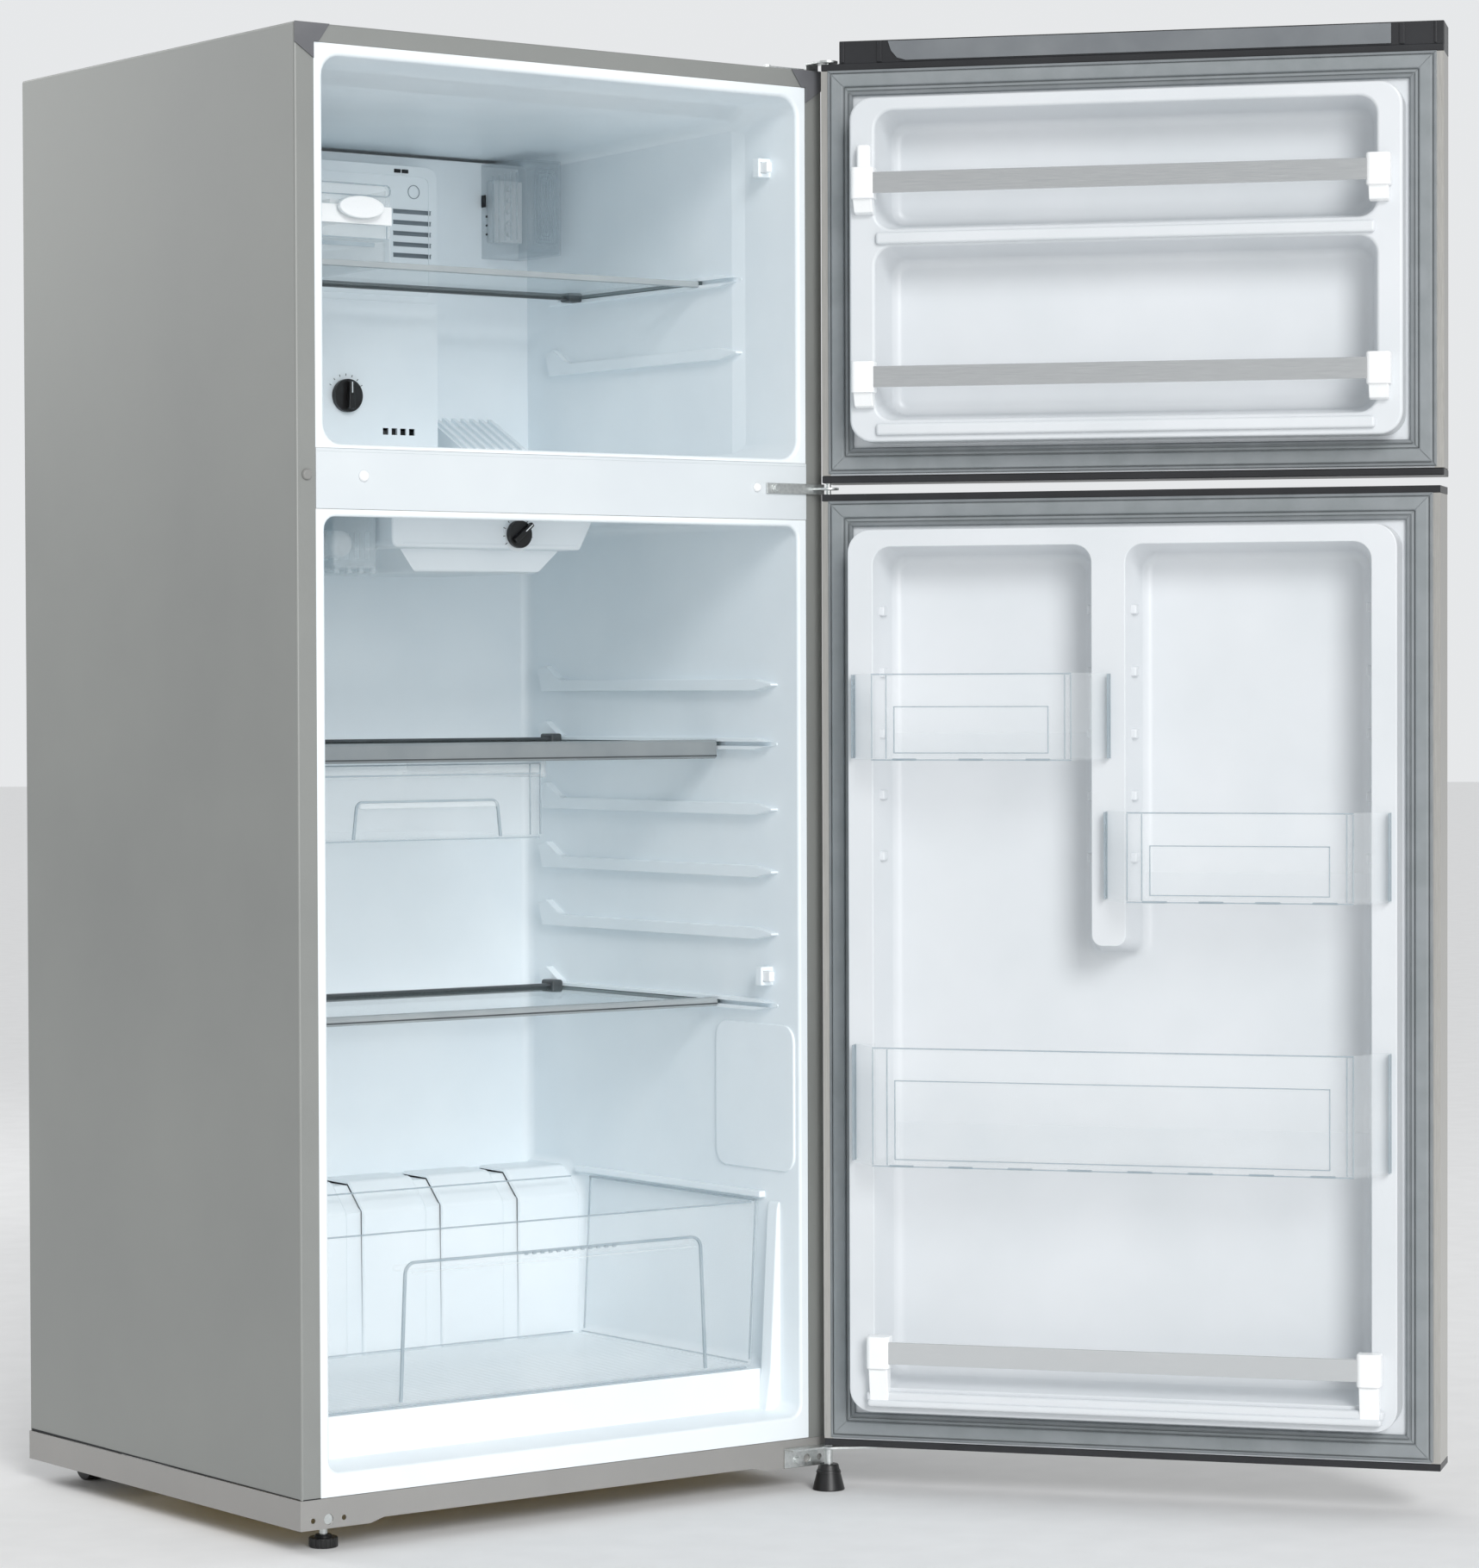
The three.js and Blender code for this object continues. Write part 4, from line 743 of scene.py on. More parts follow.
class EvaporatorCover(Piece):
    """Cover on the freezer's back wall, with its vents, knob, screw cover and lamp cover"""
    bl_idname = "refrigerator.evaporator_cover"
    bl_label = "Evaporator cover"

    def build(self, cabinet, door):
        corner = lambda p: abs(p[0] - 510.5) < 1 and abs(p[2] - 1562) < 1
        cover = round_edges(copied("evaporator_cover"), 15, lambda a, b: (
            along("y", a, b) and corner(a) and corner(b)), 6)
        soften(cover, 1.2, 3, 50)
        parts = [cover, slab(203, 508, 504.2, 505.2, 1396, 1397.2, 0.3),
                 line_ring(214, 499, 1404, 1550, 503.9, 505.3, 1.2, 9)]
        ring = cut(rod("y", 477, 504.4, 1531, 0.9, 8.4, sides=48), rod("y", 477, 503, 1531, 3, 7.6, sides=48))
        parts.append(soften(rod("y", 477, 504.7, 1531, 0.8, 7.4, sides=48), 0.3))
        louvre = [(546.5, 1262), (471.5, 1222), (471.5, 1213), (546.5, 1252)]
        for k in range(7):
            x = 531 + k * 13.4
            parts.append(soften(outline("x", louvre, x, x + 5.5), 0.8))
        for part in parts:
            toned(part, "cover_white")
        # The grey ring round the screw cover paints the shade of its gap; the grey plate behind the vent
        # slots and the lines across them paint the shade inside the slots.
        parts += [toned(ring, "vent_grey"), toned(block(446, 503, 508.4, 509.2, 1436, 1512), "vent_grey")]
        for k in range(6):
            z = 1438 + k * 13.2
            parts.append(slab(447, 502, 504.5, 505.6, z + 4.4, z + 5.3, 0.2, "vent_grey"))
        # Two near-black patches paint the shade of slots near the top of the cover.
        for x in (449, 460):
            parts.append(slab(x, x + 9, 503.8, 505.4, 1553, 1557.5, 0.3, "hole_dark"))
        finish(gather(*parts), "evaporator_cover_moulding", "cover_white", "evaporator_cover")

        x, z = 379, 1281
        disc = toned(soften(rod("y", x, 497.7, z, 7, 20.0, sides=64), 1.0, 3), "knob_black")
        grip = outline("y", [(374.5, 1265), (376, 1298), (382, 1298), (383.5, 1265)], 490, 500)
        mark = toned(block(378.4, 379.6, 489.7, 490.4, 1284, 1297), "fitting_white")
        finish(gather(disc, toned(soften(grip, 1.2, 3), "knob_black"), mark), "airflow_dial", "knob_black",
               "airflow_knob")
        dial_scale("airflow_scale", x, 504.6, z, 24, range(150, 10, -20), [2.6], 0.35)

        left, right, front, low, high = 604, 661, 448.2, 1460, 1576
        lens = round_edges(block(left, right, front, 547.2, low, high), 13, under(1, 449), 6)
        cut(lens, round_edges(block(606.2, 658.8, 450.4, 560, 1462.2, 1573.8), 11, under(1, 451), 5))
        parts = [toned(lens, "smoked_lens")]
        for k in range(4):
            inset = 12 + 4.6 * k
            ring = line_ring(left + inset, right - inset, low + inset, high - inset, 447.4, 448.8, 1.1, 6 - k)
            parts.append(toned(ring, "smoked_lens"))
        for y in range(468, 533, 13):
            parts.append(slab(603.4, 604.6, y, y + 3, 1478, 1560, 0.4, "smoked_lens"))
        # Near-black patches paint the shade of openings on the lens's side.
        parts.append(slab(602.6, 604.2, 537, 545.5, 1523, 1538, 0.4, "hole_dark"))
        for z in (1488, 1499, 1510):
            parts.append(slab(603.2, 604.2, 534, 537, z, z + 2.5, 0.2, "hole_dark"))
        finish(gather(*parts), "freezer_lamp_lens", "smoked_lens", "freezer_lamp_cover")
        diodes = [soften(rod("y", 632, 525, 1490 + 14 * k, 6, 3.2, sides=20), 0.8) for k in range(5)]
        board = slab(612, 653, 530, 546, 1480, 1556, 1)
        finish(gather(board, *diodes), "freezer_lamp_board", "fitting_white")


def open_tub(x0, x1, y0, y1, low, high, wall, corner, foot, steps, spare, inner_foot=None):
    """A tub with rounded corners and foot, hollowed to an even wall by a cutter that stands spare over it."""
    tub = round_edges(block(x0, x1, y0, y1, low, high), corner, edges_along("z"), steps)
    round_edges(tub, foot, under(2, low + 0.5), 4)
    hollow = block(x0 + wall, x1 - wall, y0 + wall, y1 - wall, low + wall, high + spare)
    round_edges(hollow, corner - wall, edges_along("z"), steps)
    if inner_foot:
        round_edges(hollow, inner_foot, under(2, low + wall + 0.5), 4)
    return cut(tub, hollow)


class FreezerFittings(Piece):
    """Freezer shelf trims, ice maker, trays and ice bin"""
    bl_idname = "refrigerator.freezer_fittings"
    bl_label = "Freezer fittings"

    def build(self, cabinet, door):
        front = slab(46.5, 664.5, 177, 188, 1401.8, 1408.6, 0.9, None, 3)
        cut(front, block(40, 670, 179.7, 200, 1404.2, 1420))
        rear = slab(46.5, 664.5, 423, 433, 1402.8, 1410.0, 1.0, "trim_dark", 3)
        cut(rear, block(40, 670, 410, 430.3, 1404.2, 1408.8))
        clips = [slab(x, x + 19, 418, 438, 1400.5, 1411.5, 2.0, "trim_dark", 3) for x in (46, 646)]
        finish(front, "freezer_shelf_front_trim", "trim_light", slot="grey_plastic")
        finish(gather(rear, *clips), "freezer_shelf_rear_trim", "trim_dark", slot="grey_plastic")

        floor, axis_level = ICE_FLOOR, ICE_FLOOR + 65
        box = round_edges(block(90, 270, 232, 470, floor, floor + 94), 16, lambda a, b: (
            along("y", a, b) and a[2] > floor + 93), 6)
        round_edges(box, 3, under(1, 232.5), 4)
        cut(box, block(93, 267, 225, 467, floor - 2, floor + 30))
        for x0, x1 in ((93, 178.5), (181.5, 267)):
            cut(box, round_edges(block(x0, x1, 235, 467, floor + 29, floor + 99), 6, edges_along("z"), 4))
        cut(box, *[rod("y", x, 225, axis_level, 250, 5.6, sides=24) for x in TRAY_AXES])
        # Thin lines of the edge tone paint the light gathered along the housing's clear edges.
        edges = [toned(line_ring(91, 269, floor + 79, floor + 93, 230.9, 232.4, 1.4, 6), "clear_edge"),
                 slab(93, 267, 230.9, 232.4, floor + 30.5, floor + 32, 0.4, "clear_edge"),
                 slab(263, 264.4, 230.9, 232.4, floor + 32, floor + 46, 0.4, "clear_edge")]
        finish(gather(toned(box, "clear_lip"), *edges), "ice_maker_housing", "clear_lip", "ice_maker_frame",
               slot="clear_plastic")
        band = slab(90.5, 269.5, 229.6, 231.8, floor + 47, floor + 68, 0.8, None, 3)
        cut(band, *[rod("y", x, 228, axis_level, 8, 6.2, sides=32) for x in TRAY_AXES])
        finish(band, "ice_maker_band", "fitting_white", slot="white_plastic")
        for node, x in zip(("ice_tray_left", "ice_tray_right"), TRAY_AXES):
            tray = cut(copied(node, 0.5), block(x - 40, x + 40, 210, 228, floor + 40, floor + 90))
            oval = moved(rod("y", 0, 0, 0, 6.6, 30, sides=64), (x, 218.5, axis_level),
                         Matrix.Diagonal((1, 1, 0.43, 1)))
            shaft = rod("y", x, 224.5, axis_level, 18, 5, sides=24)
            finish(gather(tray, soften(oval, 2.0, 4), shaft), node + "_twist", "fitting_white", node)
        tub = toned(open_tub(94, 266, 234, 465, floor, floor + 28, 2, 8, 4, 4, 12), "clear_styrene")
        lip = slab(112, 248, 232.6, 234.4, floor + 22, floor + 27, 0.5, "clear_edge")
        finish(gather(tub, lip), "ice_bin_tub", "clear_styrene", "ice_bin")


class ControlHousing(Piece):
    """Thermostat housing under the fresh-food ceiling, its dial and the lamp cover"""
    bl_idname = "refrigerator.control_housing"
    bl_label = "Control housing"

    def build(self, cabinet, door):
        top, low = 1125.6, 1087.6
        body = outline("y", [(217, top), (217, low + 6), (222, low), (474, low), (494, top)], 150, 420)
        round_edges(body, 3.5, lambda a, b: a[2] < top - 1 or b[2] < top - 1, 4)
        cut(body, block(221, 484, 154, 416, low + 4, top + 2))
        plateau = outline("y", [(255, low + 1), (275, low - 26), (444, low - 26), (474, low + 1)], 195, 400)
        round_edges(plateau, 5, under(2, low), 4)
        x, z = 385.5, low + 17
        groove = slab(232, 468, 149.3, 150.3, low + 4.2, low + 5.2, 0.2)
        plate = soften(rod("y", x, 148.9, z, 1.2, 19.5, sides=64), 0.5)
        finish(gather(body, plateau, groove, plate), "control_housing_moulding", "cover_white",
               "control_housing")
        dial_scale("thermostat_scale", x, 148.5, z, 17.3, range(215, -10, -28), [3.4, 2.4], 0.3)
        disc = toned(soften(rod("y", x, 141.7, z, 6.6, 15.8, sides=64), 1.0, 3), "knob_black")
        grip = [(x - 3.4, z - 13), (x - 2.6, z + 18.5), (x + 2.6, z + 18.5), (x + 3.4, z - 13)]
        grip = toned(soften(outline("y", grip, 136.8, 143), 1.0, 3), "knob_black")
        mark = toned(block(x - 0.6, x + 0.6, 136.5, 137.1, z + 5, z + 17), "fitting_white")
        centre = Matrix.Translation(here(x, 0, z))
        for part in (grip, mark):
            part.data.transform(centre @ Matrix.Rotation(math.radians(50), 4, "Y") @ centre.inverted())
        finish(gather(disc, grip, mark), "thermostat_dial", "knob_black", "thermostat_knob")

        lens = round_edges(block(154, 214, 175, 300, 1062.6, top), 6, lambda a, b: (
            along("z", a, b) or (a[2] < 1063 and b[2] < 1063)), 4)
        cut(lens, block(156, 212, 177, 298, 1064.6, top + 4))
        cut(lens, *[block(150, 218, y, y + 12, 1075.6, 1105.6) for y in range(190, 300, 22)])
        hooks = [slab(x, x + 6, 176, 182, 1058, 1068, 0.8) for x in range(158, 222, 16)]
        finish(gather(lens, *hooks), "fridge_lamp_lens", "clear_lens", "fridge_lamp_cover")
        bulb = soften(rod("y", 184, 200, 1092, 62, 15, 15, sides=40), 9, 5)
        socket = soften(rod("y", 184, 258, 1092, 32, 13, sides=32), 1.5)
        finish(gather(bulb, socket), "fridge_lamp_bulb", "fitting_white")


class Shelves(Piece):
    """Front and rear trims of the fresh-food shelves and the drawer hangers"""
    bl_idname = "refrigerator.shelves"
    bl_label = "Shelves"

    def build(self, cabinet, door):
        for name, level, height, tone in (("upper", 861, 22, "trim_grey"), ("lower", 557, 10, "trim_light")):
            top = level + 6.5
            foot = top - height
            trim = outline("x", [(144.5, top), (142, top - 3), (142, foot + 3), (144, foot), (158, foot),
                                 (158, top)], 48, 663)
            cut(soften(trim, 0.8, 2, 40), block(40, 671, 149.6, 170, level - 0.4, level + 4.4))
            parts = [toned(trim, tone),
                     slab(48.5, 662.5, 141.6, 142.6, foot + 2.6, foot + 4.2, 0.3, "trim_dark")]
            if name == "upper":
                for x0, x1, x2, x3 in ((96.5, 99.5, 96.5, 105), (436.5, 439.5, 431, 439.5)):
                    parts += [slab(x0, x1, 172, 465, 826, 860.6, 0.4, "clear_lip"),
                              slab(x2, x3, 172, 465, 826, 829, 0.4, "clear_lip")]
            finish(gather(*parts), name + "_shelf_front_trim", tone, name + "_shelf_trim")
            back = slab(48, 663, 470, 482, level - 1.5, level + 7.5, 1.2, "trim_dark", 3)
            cut(back, block(40, 671, 460, 478.3, level - 0.4, level + 4.4))
            clips = [slab(x, x + 16, 466, 492, level - 3, level + 12, 3.0, "trim_dark", 4) for x in (46, 650)]
            finish(gather(back, *clips), name + "_shelf_rear_trim", "trim_dark", slot="grey_plastic")
        for node in ("freezer_shelf_glass", "upper_shelf_glass", "lower_shelf_glass"):
            start, end = (millimetres(p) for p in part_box(node))
            level = (start[2] + end[2]) / 2
            sides = [slab(x, x + 7, start[1] + 0.5, end[1] - 0.5, level - 2.1, level + 2.1, 0.4, "glass_edge")
                     for x in (39, 665)]
            pane = toned(copied(node, 0.5), "shelf_glass")
            finish(gather(pane, *sides), node + "_pane", "shelf_glass", node)


def line_ring(x0, x1, z0, z1, y0, y1, width, radius):
    """A thin raised line that runs round a rectangle."""
    ring = round_edges(block(x0, x1, y0, y1, z0, z1), radius, edges_along("y"), 5)
    hole = block(x0 + width, x1 - width, y0 - 2, y1 + 2, z0 + width, z1 - width)
    cut(ring, round_edges(hole, max(radius - width, 0.5), edges_along("y"), 5))
    return soften(ring, min(0.35, width / 3), 2, 40)


def arch_line(x0, x1, z0, z1, y0, y1, width, radius, lean):
    """A raised line up one side of a finger recess, over the top and down the other side."""
    arch = outline("y", [(x0 - lean, z0), (x0, z1), (x1, z1), (x1 + lean, z0)], y0, y1)
    round_edges(arch, radius, lambda a, b: along("y", a, b) and a[2] > z1 - 1, 6)
    gap = outline("y", [(x0 - lean + width, z0 - 5), (x0 + width, z1 - width), (x1 - width, z1 - width),
                        (x1 + lean - width, z0 - 5)], y0 - 2, y1 + 2)
    round_edges(gap, radius - width, lambda a, b: along("y", a, b) and a[2] > z1 - width - 1, 6)
    return soften(cut(arch, gap), 0.6, 2, 40)


def bar_line(start, end, width, y0, y1):
    """A thin straight bar between two points of a front, given as (x, z)."""
    (x0, z0), (x1, z1) = start, end
    length = math.hypot(x1 - x0, z1 - z0)
    nx, nz = -(z1 - z0) / length * width / 2, (x1 - x0) / length * width / 2
    corners = [(x0 + nx, z0 + nz), (x1 + nx, z1 + nz), (x1 - nx, z1 - nz), (x0 - nx, z0 - nz)]
    return outline("y", corners, y0, y1)


class Drawers(Piece):
    """Crisper and the small drawer under the upper shelf"""
    bl_idname = "refrigerator.drawers"
    bl_label = "Drawers"

    def build(self, cabinet, door):
        low, high = 136, 331
        body = outline("y", [(52, low), (659, low), (670, high), (41, high)], 62, 430)
        slanted = lambda a, b: abs(a[1] - b[1]) < NEAR and 5 < abs(a[0] - b[0]) < 20
        round_edges(body, 16, slanted, 6)
        round_edges(body, 6, under(2, low + 0.5), 4)
        hollow = [(54.7, low + 2.5), (656.3, low + 2.5), (667.4, high + 4), (43.6, high + 4)]
        hollow = round_edges(outline("y", hollow, 64.5, 427.5), 13.5, slanted, 6)
        cut(body, round_edges(hollow, 4, under(2, low + 3), 4))
        parts = [toned(body, "clear_styrene")]
        # Strips and bars of the edge tone paint the light gathered along the tub's clear edges and rims.
        for x0, x1, y0, y1, z0, z1, width in (
            (60, 651, 61.2, 63.4, high - 1.8, high, 0.5),
            (60, 651, 428.6, 430.6, high - 1.8, high, 0.5),
            (60, 651, 425.6, 427.6, low + 2.2, low + 4, 0.5),
            (68, 643, 61.2, 63.0, low + 0.5, low + 2.2, 0.4),
        ):
            parts.append(slab(x0, x1, y0, y1, z0, z1, width, "clear_edge"))
        for side in (-1, 1):
            x_top, x_low = 355.5 + side * 313, 355.5 + side * 303
            x_foot = x_low - side * 3
            for y in (76, 412):
                upright = bar_line((x_low, low + 8), (x_top, high - 1), 1.8, y, y + 1.6)
                parts.append(toned(upright, "clear_edge"))
            parts += [slab(x_top - 1.2, x_top + 1.2, 76, 414, high - 2.4, high, 0.4, "clear_edge"),
                      slab(x_foot - 1, x_foot + 1, 76, 414, low + 4, low + 5.6, 0.4, "clear_edge")]
        parts += [toned(arch_line(171, 578, 142, 297, 59.6, 63, 3.2, 14, 7), "clear_edge"),
                  toned(soften(bar_line((181, 284), (568, 284), 1.4, 61.2, 62.6), 0.3), "clear_lip"),
                  slab(156, 556, 54, 63, high - 43, high - 36, 2.2, "clear_styrene", 3)]
        for x in range(330, 462, 11):
            parts.append(slab(x, x + 5, 58.2, 60.2, 292.5, 295.5, 0.5, "clear_edge"))
        for y in range(74, 418, 8):
            parts.append(slab(62, 649, y, y + 1.4, low + 2.3, low + 3.4, 0.4, "clear_lip", 1))
        finish(gather(*parts), "crisper_tub", "clear_styrene", "crisper_drawer")

        low, high = 757, 832
        parts = [toned(open_tub(106, 430, 160, 461, low, high, 2.5, 12, 6, 5, 5, 4), "clear_styrene")]
        for x0, x1 in ((100.5, 107), (429, 435.5)):
            parts.append(slab(x0, x1, 174, 457, high - 2.7, high, 0.6, "clear_lip"))
        front = round_edges(block(107, 429, 160.2, 162.4, high - 3, 843.5), 3, edges_along("y"), 3)
        parts.append(toned(soften(front, 0.4), "clear_lip"))
        # Edge-tone strips paint the light gathered along the drawer front's clear edges.
        for z in (842.6, high - 1, low + 0.8):
            parts.append(slab(114, 422, 159.2, 160.8, z - 0.8, z + 0.8, 0.3, "clear_edge"))
        for x in (113, 120, 409, 423):
            parts.append(slab(x - 0.7, x + 0.7, 159.2, 160.8, low + 4, 842, 0.3, "clear_edge"))
        parts += [toned(arch_line(173, 364, 760, 803, 157.8, 161, 2.6, 8, 5), "clear_edge"),
                  slab(176, 361, 153, 161, high - 38, high - 31, 1.8, "clear_lip", 3)]
        finish(gather(*parts), "deli_tub", "clear_styrene", "deli_drawer")


class Switches(Piece):
    """Door switch buttons"""
    bl_idname = "refrigerator.switches"
    bl_label = "Door switches"

    def build(self, cabinet, door):
        for node in ("freezer_door_switch", "fridge_door_switch"):
            finish(copied(node, 1.6, 3), node + "_button", "fitting_white", node)


# ---- doors ----------------------------------------------------------------------------------------
def pocket_cutter(corners, radius):
    """A cutter for storage pockets whose sides lean in towards the floor. The corners run anticlockwise
    as (x, z)."""
    floor, mouth, lean = -29, 60, 13
    tool = outline("y", corners, floor, mouth)
    shifts = []
    for k, (x, z) in enumerate(corners):
        (x0, z0), (x1, z1) = corners[k - 1], corners[(k + 1) % len(corners)]
        before, after = Vector((x - x0, z - z0)).normalized(), Vector((x1 - x, z1 - z)).normalized()
        shifts.append((-before.y - after.y, before.x + after.x))
    for corner in tool.data.vertices:
        x, y, z = millimetres(corner.co)
        if y < floor + 1:
            k = min(range(len(corners)), key=lambda i: abs(corners[i][0] - x) + abs(corners[i][1] - z))
            corner.co.x += shifts[k][0] * lean / 1000
            corner.co.z += shifts[k][1] * lean / 1000
    rib_end = lambda p: 330 < p[0] < 400 and 620 < p[2] < 660
    deep = lambda a, b: abs(a[1] - b[1]) > 85 and abs(a[0] - b[0]) > 5 and not rib_end(a)
    if any(rib_end((x, 0, z)) for x, z in corners):
        round_edges(tool, 12, lambda a, b: abs(a[1] - b[1]) > 50 and rib_end(a), 6)
    round_edges(tool, radius, deep, 7)
    round_edges(tool, 11, under(1, floor + 0.5), 5)
    return tool


def seal_frame(inset, z0, z1, width, back, front, soft, tone, mitred=True):
    """One profile of the door seal, run round the door and mitred at its corners."""
    ring = block(inset, WIDTH - inset, back, front, z0, z1)
    cut(ring, block(inset + width, WIDTH - inset - width, back - 2, front + 2, z0 + width, z1 - width))
    soften(ring, soft, 4)
    if mitred:
        for x, turn_x in ((inset, 1), (WIDTH - inset, -1)):
            for z, turn_z in ((z0, 1), (z1, -1)):
                far = width + 1
                line = [(-1, -0.6), (-1, -1.4), (-0.6, -1.4), (far, far - 0.4), (far - 0.4, far)]
                points = [(x + turn_x * a, z + turn_z * b) for a, b in line]
                cut(ring, outline("y", points, front - 0.9, front + 1))
    return toned(ring, tone)


class DoorShells(Piece):
    """Stainless skins, end caps, the dark top trim and its grey panel"""
    bl_idname = "refrigerator.door_shells"
    bl_label = "Door shells"

    def build(self, cabinet, door):
        for leaf in DOORS:
            skin = round_edges(copied(leaf + "_skin", door=leaf), 2.4, lambda a, b: (
                along("z", a, b) and min(abs(a[0]), abs(a[0] - WIDTH)) < NEAR and a[1] < -70.9), 4)
            finish(skin, leaf + "_steel", "stainless", leaf + "_skin", leaf)
            for cap in (leaf + "_top_cap", leaf + "_bottom_cap"):
                finish(copied(cap, 1.0, 2, leaf), cap + "_moulding", "charcoal_abs", cap, leaf)
        panel = [(59, 1647), (612, 1647), (622, 1650), (629, 1658), (633, 1669.6), (59, 1669.6)]
        finish(soften(outline("y", panel, -11.6, -9.6), 0.5), "freezer_trim_panel", "panel_grey",
               door="freezer_door", slot="grey_plastic")
        ribs = [slab(x0, x1, -10.9, -9.4, 1646.4, 1670.4, 0.6)
                for x0, x1 in ((8, 11), (44, 50), (640, 646), (684, 688))]
        finish(gather(*ribs), "freezer_trim_ribs", "charcoal_abs", door="freezer_door",
               slot="charcoal_plastic")


class DoorLiners(Piece):
    """White door liners with their pockets, and the gaskets around them"""
    bl_idname = "refrigerator.door_liners"
    bl_label = "Door liners"

    def build(self, cabinet, door):
        radius, rim = mm(door.pocket_corner), mm(door.rim_edge)
        # Each plan: panel bottom and top, raised rim bottom and top, seal bottom and top, then the pockets.
        # The fresh-food door has one pocket, split at the top by a rib.
        plans = {
            "freezer_door": (1172.3, 1636.7, 1208, 1600, 1174, 1637, [
                [(67, 1229), (643, 1229), (643, 1433), (67, 1433)],
                [(67, 1446), (643, 1446), (643, 1588), (67, 1588)]]),
            "fridge_door": (60.3, 1142.7, 100, 1108, 62, 1143, [
                [(67, 125), (643, 125), (643, 1092), (382.5, 1092), (382.5, 640), (350.5, 640), (350.5, 1092),
                 (67, 1092)]]),
        }
        for leaf, (low, high, rim_low, rim_high, z0, z1, pockets) in plans.items():
            panel = block(DOOR_FLANGE, WIDTH - DOOR_FLANGE, -11, -9, low, high)
            raised = block(42, 669, -31, RIM_FRONT, rim_low, rim_high)
            fuse(panel, round_edges(raised, 26, edges_along("y"), 8))
            cut(panel, *[pocket_cutter(corners, radius) for corners in pockets])
            parts = [round_edges(panel, rim, over(1, RIM_FRONT - 0.1), 4)]
            if leaf == "fridge_door":
                for x0, x1 in ((66, 79), (631, 644), (338, 351.5), (381.5, 395)):
                    for z in range(730, 1080, 70):
                        parts.append(slab(x0, x1, -2, 16, z, z + 11, 2.0, None, 3))
                parts += [slab(58, 645, 35, 50, 108, 116, 3.2, None, 4),
                          slab(56, 647, 35, 47, 114, 125, 3.6, None, 4)]
            else:
                parts += [slab(72, 638, 33, 42, z, z + 14, 4.0, None, 5) for z in (1432, 1215)]
            finish(gather(*parts), leaf + "_liner_moulding", "door_liner_white", leaf + "_liner", leaf)
            # The second and last seal profiles take the darker gasket tone, painted shade in the seal's
            # folds.
            seals = [seal_frame(inset, z0 + inset - 8, z1 - inset + 8, *profile) for inset, *profile in (
                (8, 30, -8.7, -6.2, 0.6, "gasket_pvc", False),
                (8.5, 3, -7.0, -4.2, 0.9, "gasket_fin"),
                (12.5, 15, -7.0, -2.3, 2.2, "gasket_pvc"),
                (28.5, 3.6, -7.0, -4.4, 1.1, "gasket_pvc"),
                (33.5, 4, -7.0, -3.4, 1.3, "gasket_fin"),
            )]
            finish(gather(*seals), leaf + "_seal", "gasket_pvc", leaf + "_gasket", leaf)


def rail_set(low, height, drop, left, right):
    """A brushed metal strip between two white end brackets."""
    top = low + height
    parts = [slab(left, right, 52, 54, low, top, 0.4, "rail_metal"),
             slab(left, right, 49.5, 53.4, top - 1.4, top, 0.3, "fitting_white")]
    clip = [(36.3, low - drop), (46, low - drop + 2), (53, low - 7), (53, low - 5), (36.3, low - 5)]
    for x0, x1 in ((left - 24, left + 3), (right - 3, right + 24)):
        body = block(x0, x1, 36.3, 57, low - 6, top + 6)
        round_edges(body, 6, lambda a, b: along("z", a, b) and a[1] > 56.5, 4)
        parts += [toned(soften(body, 1.6, 3, 45), "fitting_white"),
                  toned(soften(outline("x", clip, x0 + 2.5, x1 - 2.5), 1.2, 3, 30), "fitting_white")]
    if low > 1400:
        parts.append(slab(right + 2, right + 18, 34, 50, top + 3, top + 32, 4.0, "fitting_white", 4))
    return gather(*parts)


class DoorRails(Piece):
    """Brushed rails across the door pockets and their white brackets"""
    bl_idname = "refrigerator.door_rails"
    bl_label = "Door rails"

    def build(self, cabinet, door):
        for node, low, height, drop, left, right, leaf in (
            ("freezer_retainer_upper", 1489, 24, 23, 78, 640, "freezer_door"),
            ("freezer_retainer_lower", 1269, 24, 23, 78, 640, "freezer_door"),
            ("fridge_door_retainer", 158, 25, 52, 82, 621, "fridge_door"),
        ):
            finish(rail_set(low, height, drop, left, right), node + "_set", "rail_metal", node, leaf)


def bin_outline(x0, x1, inset):
    back, shoulder, front = -27, 36.4, 89
    left = [(x0 + 15 + inset, front - inset), (x0 - 13 + inset, shoulder + 14),
            (x0 - 19 + inset, shoulder + inset), (x0 + 2 + inset, shoulder + inset),
            (x0 + 2 + inset, back + inset)]
    return left[4:] + [(x0 + x1 - x, y) for x, y in reversed(left)] + left[:4]


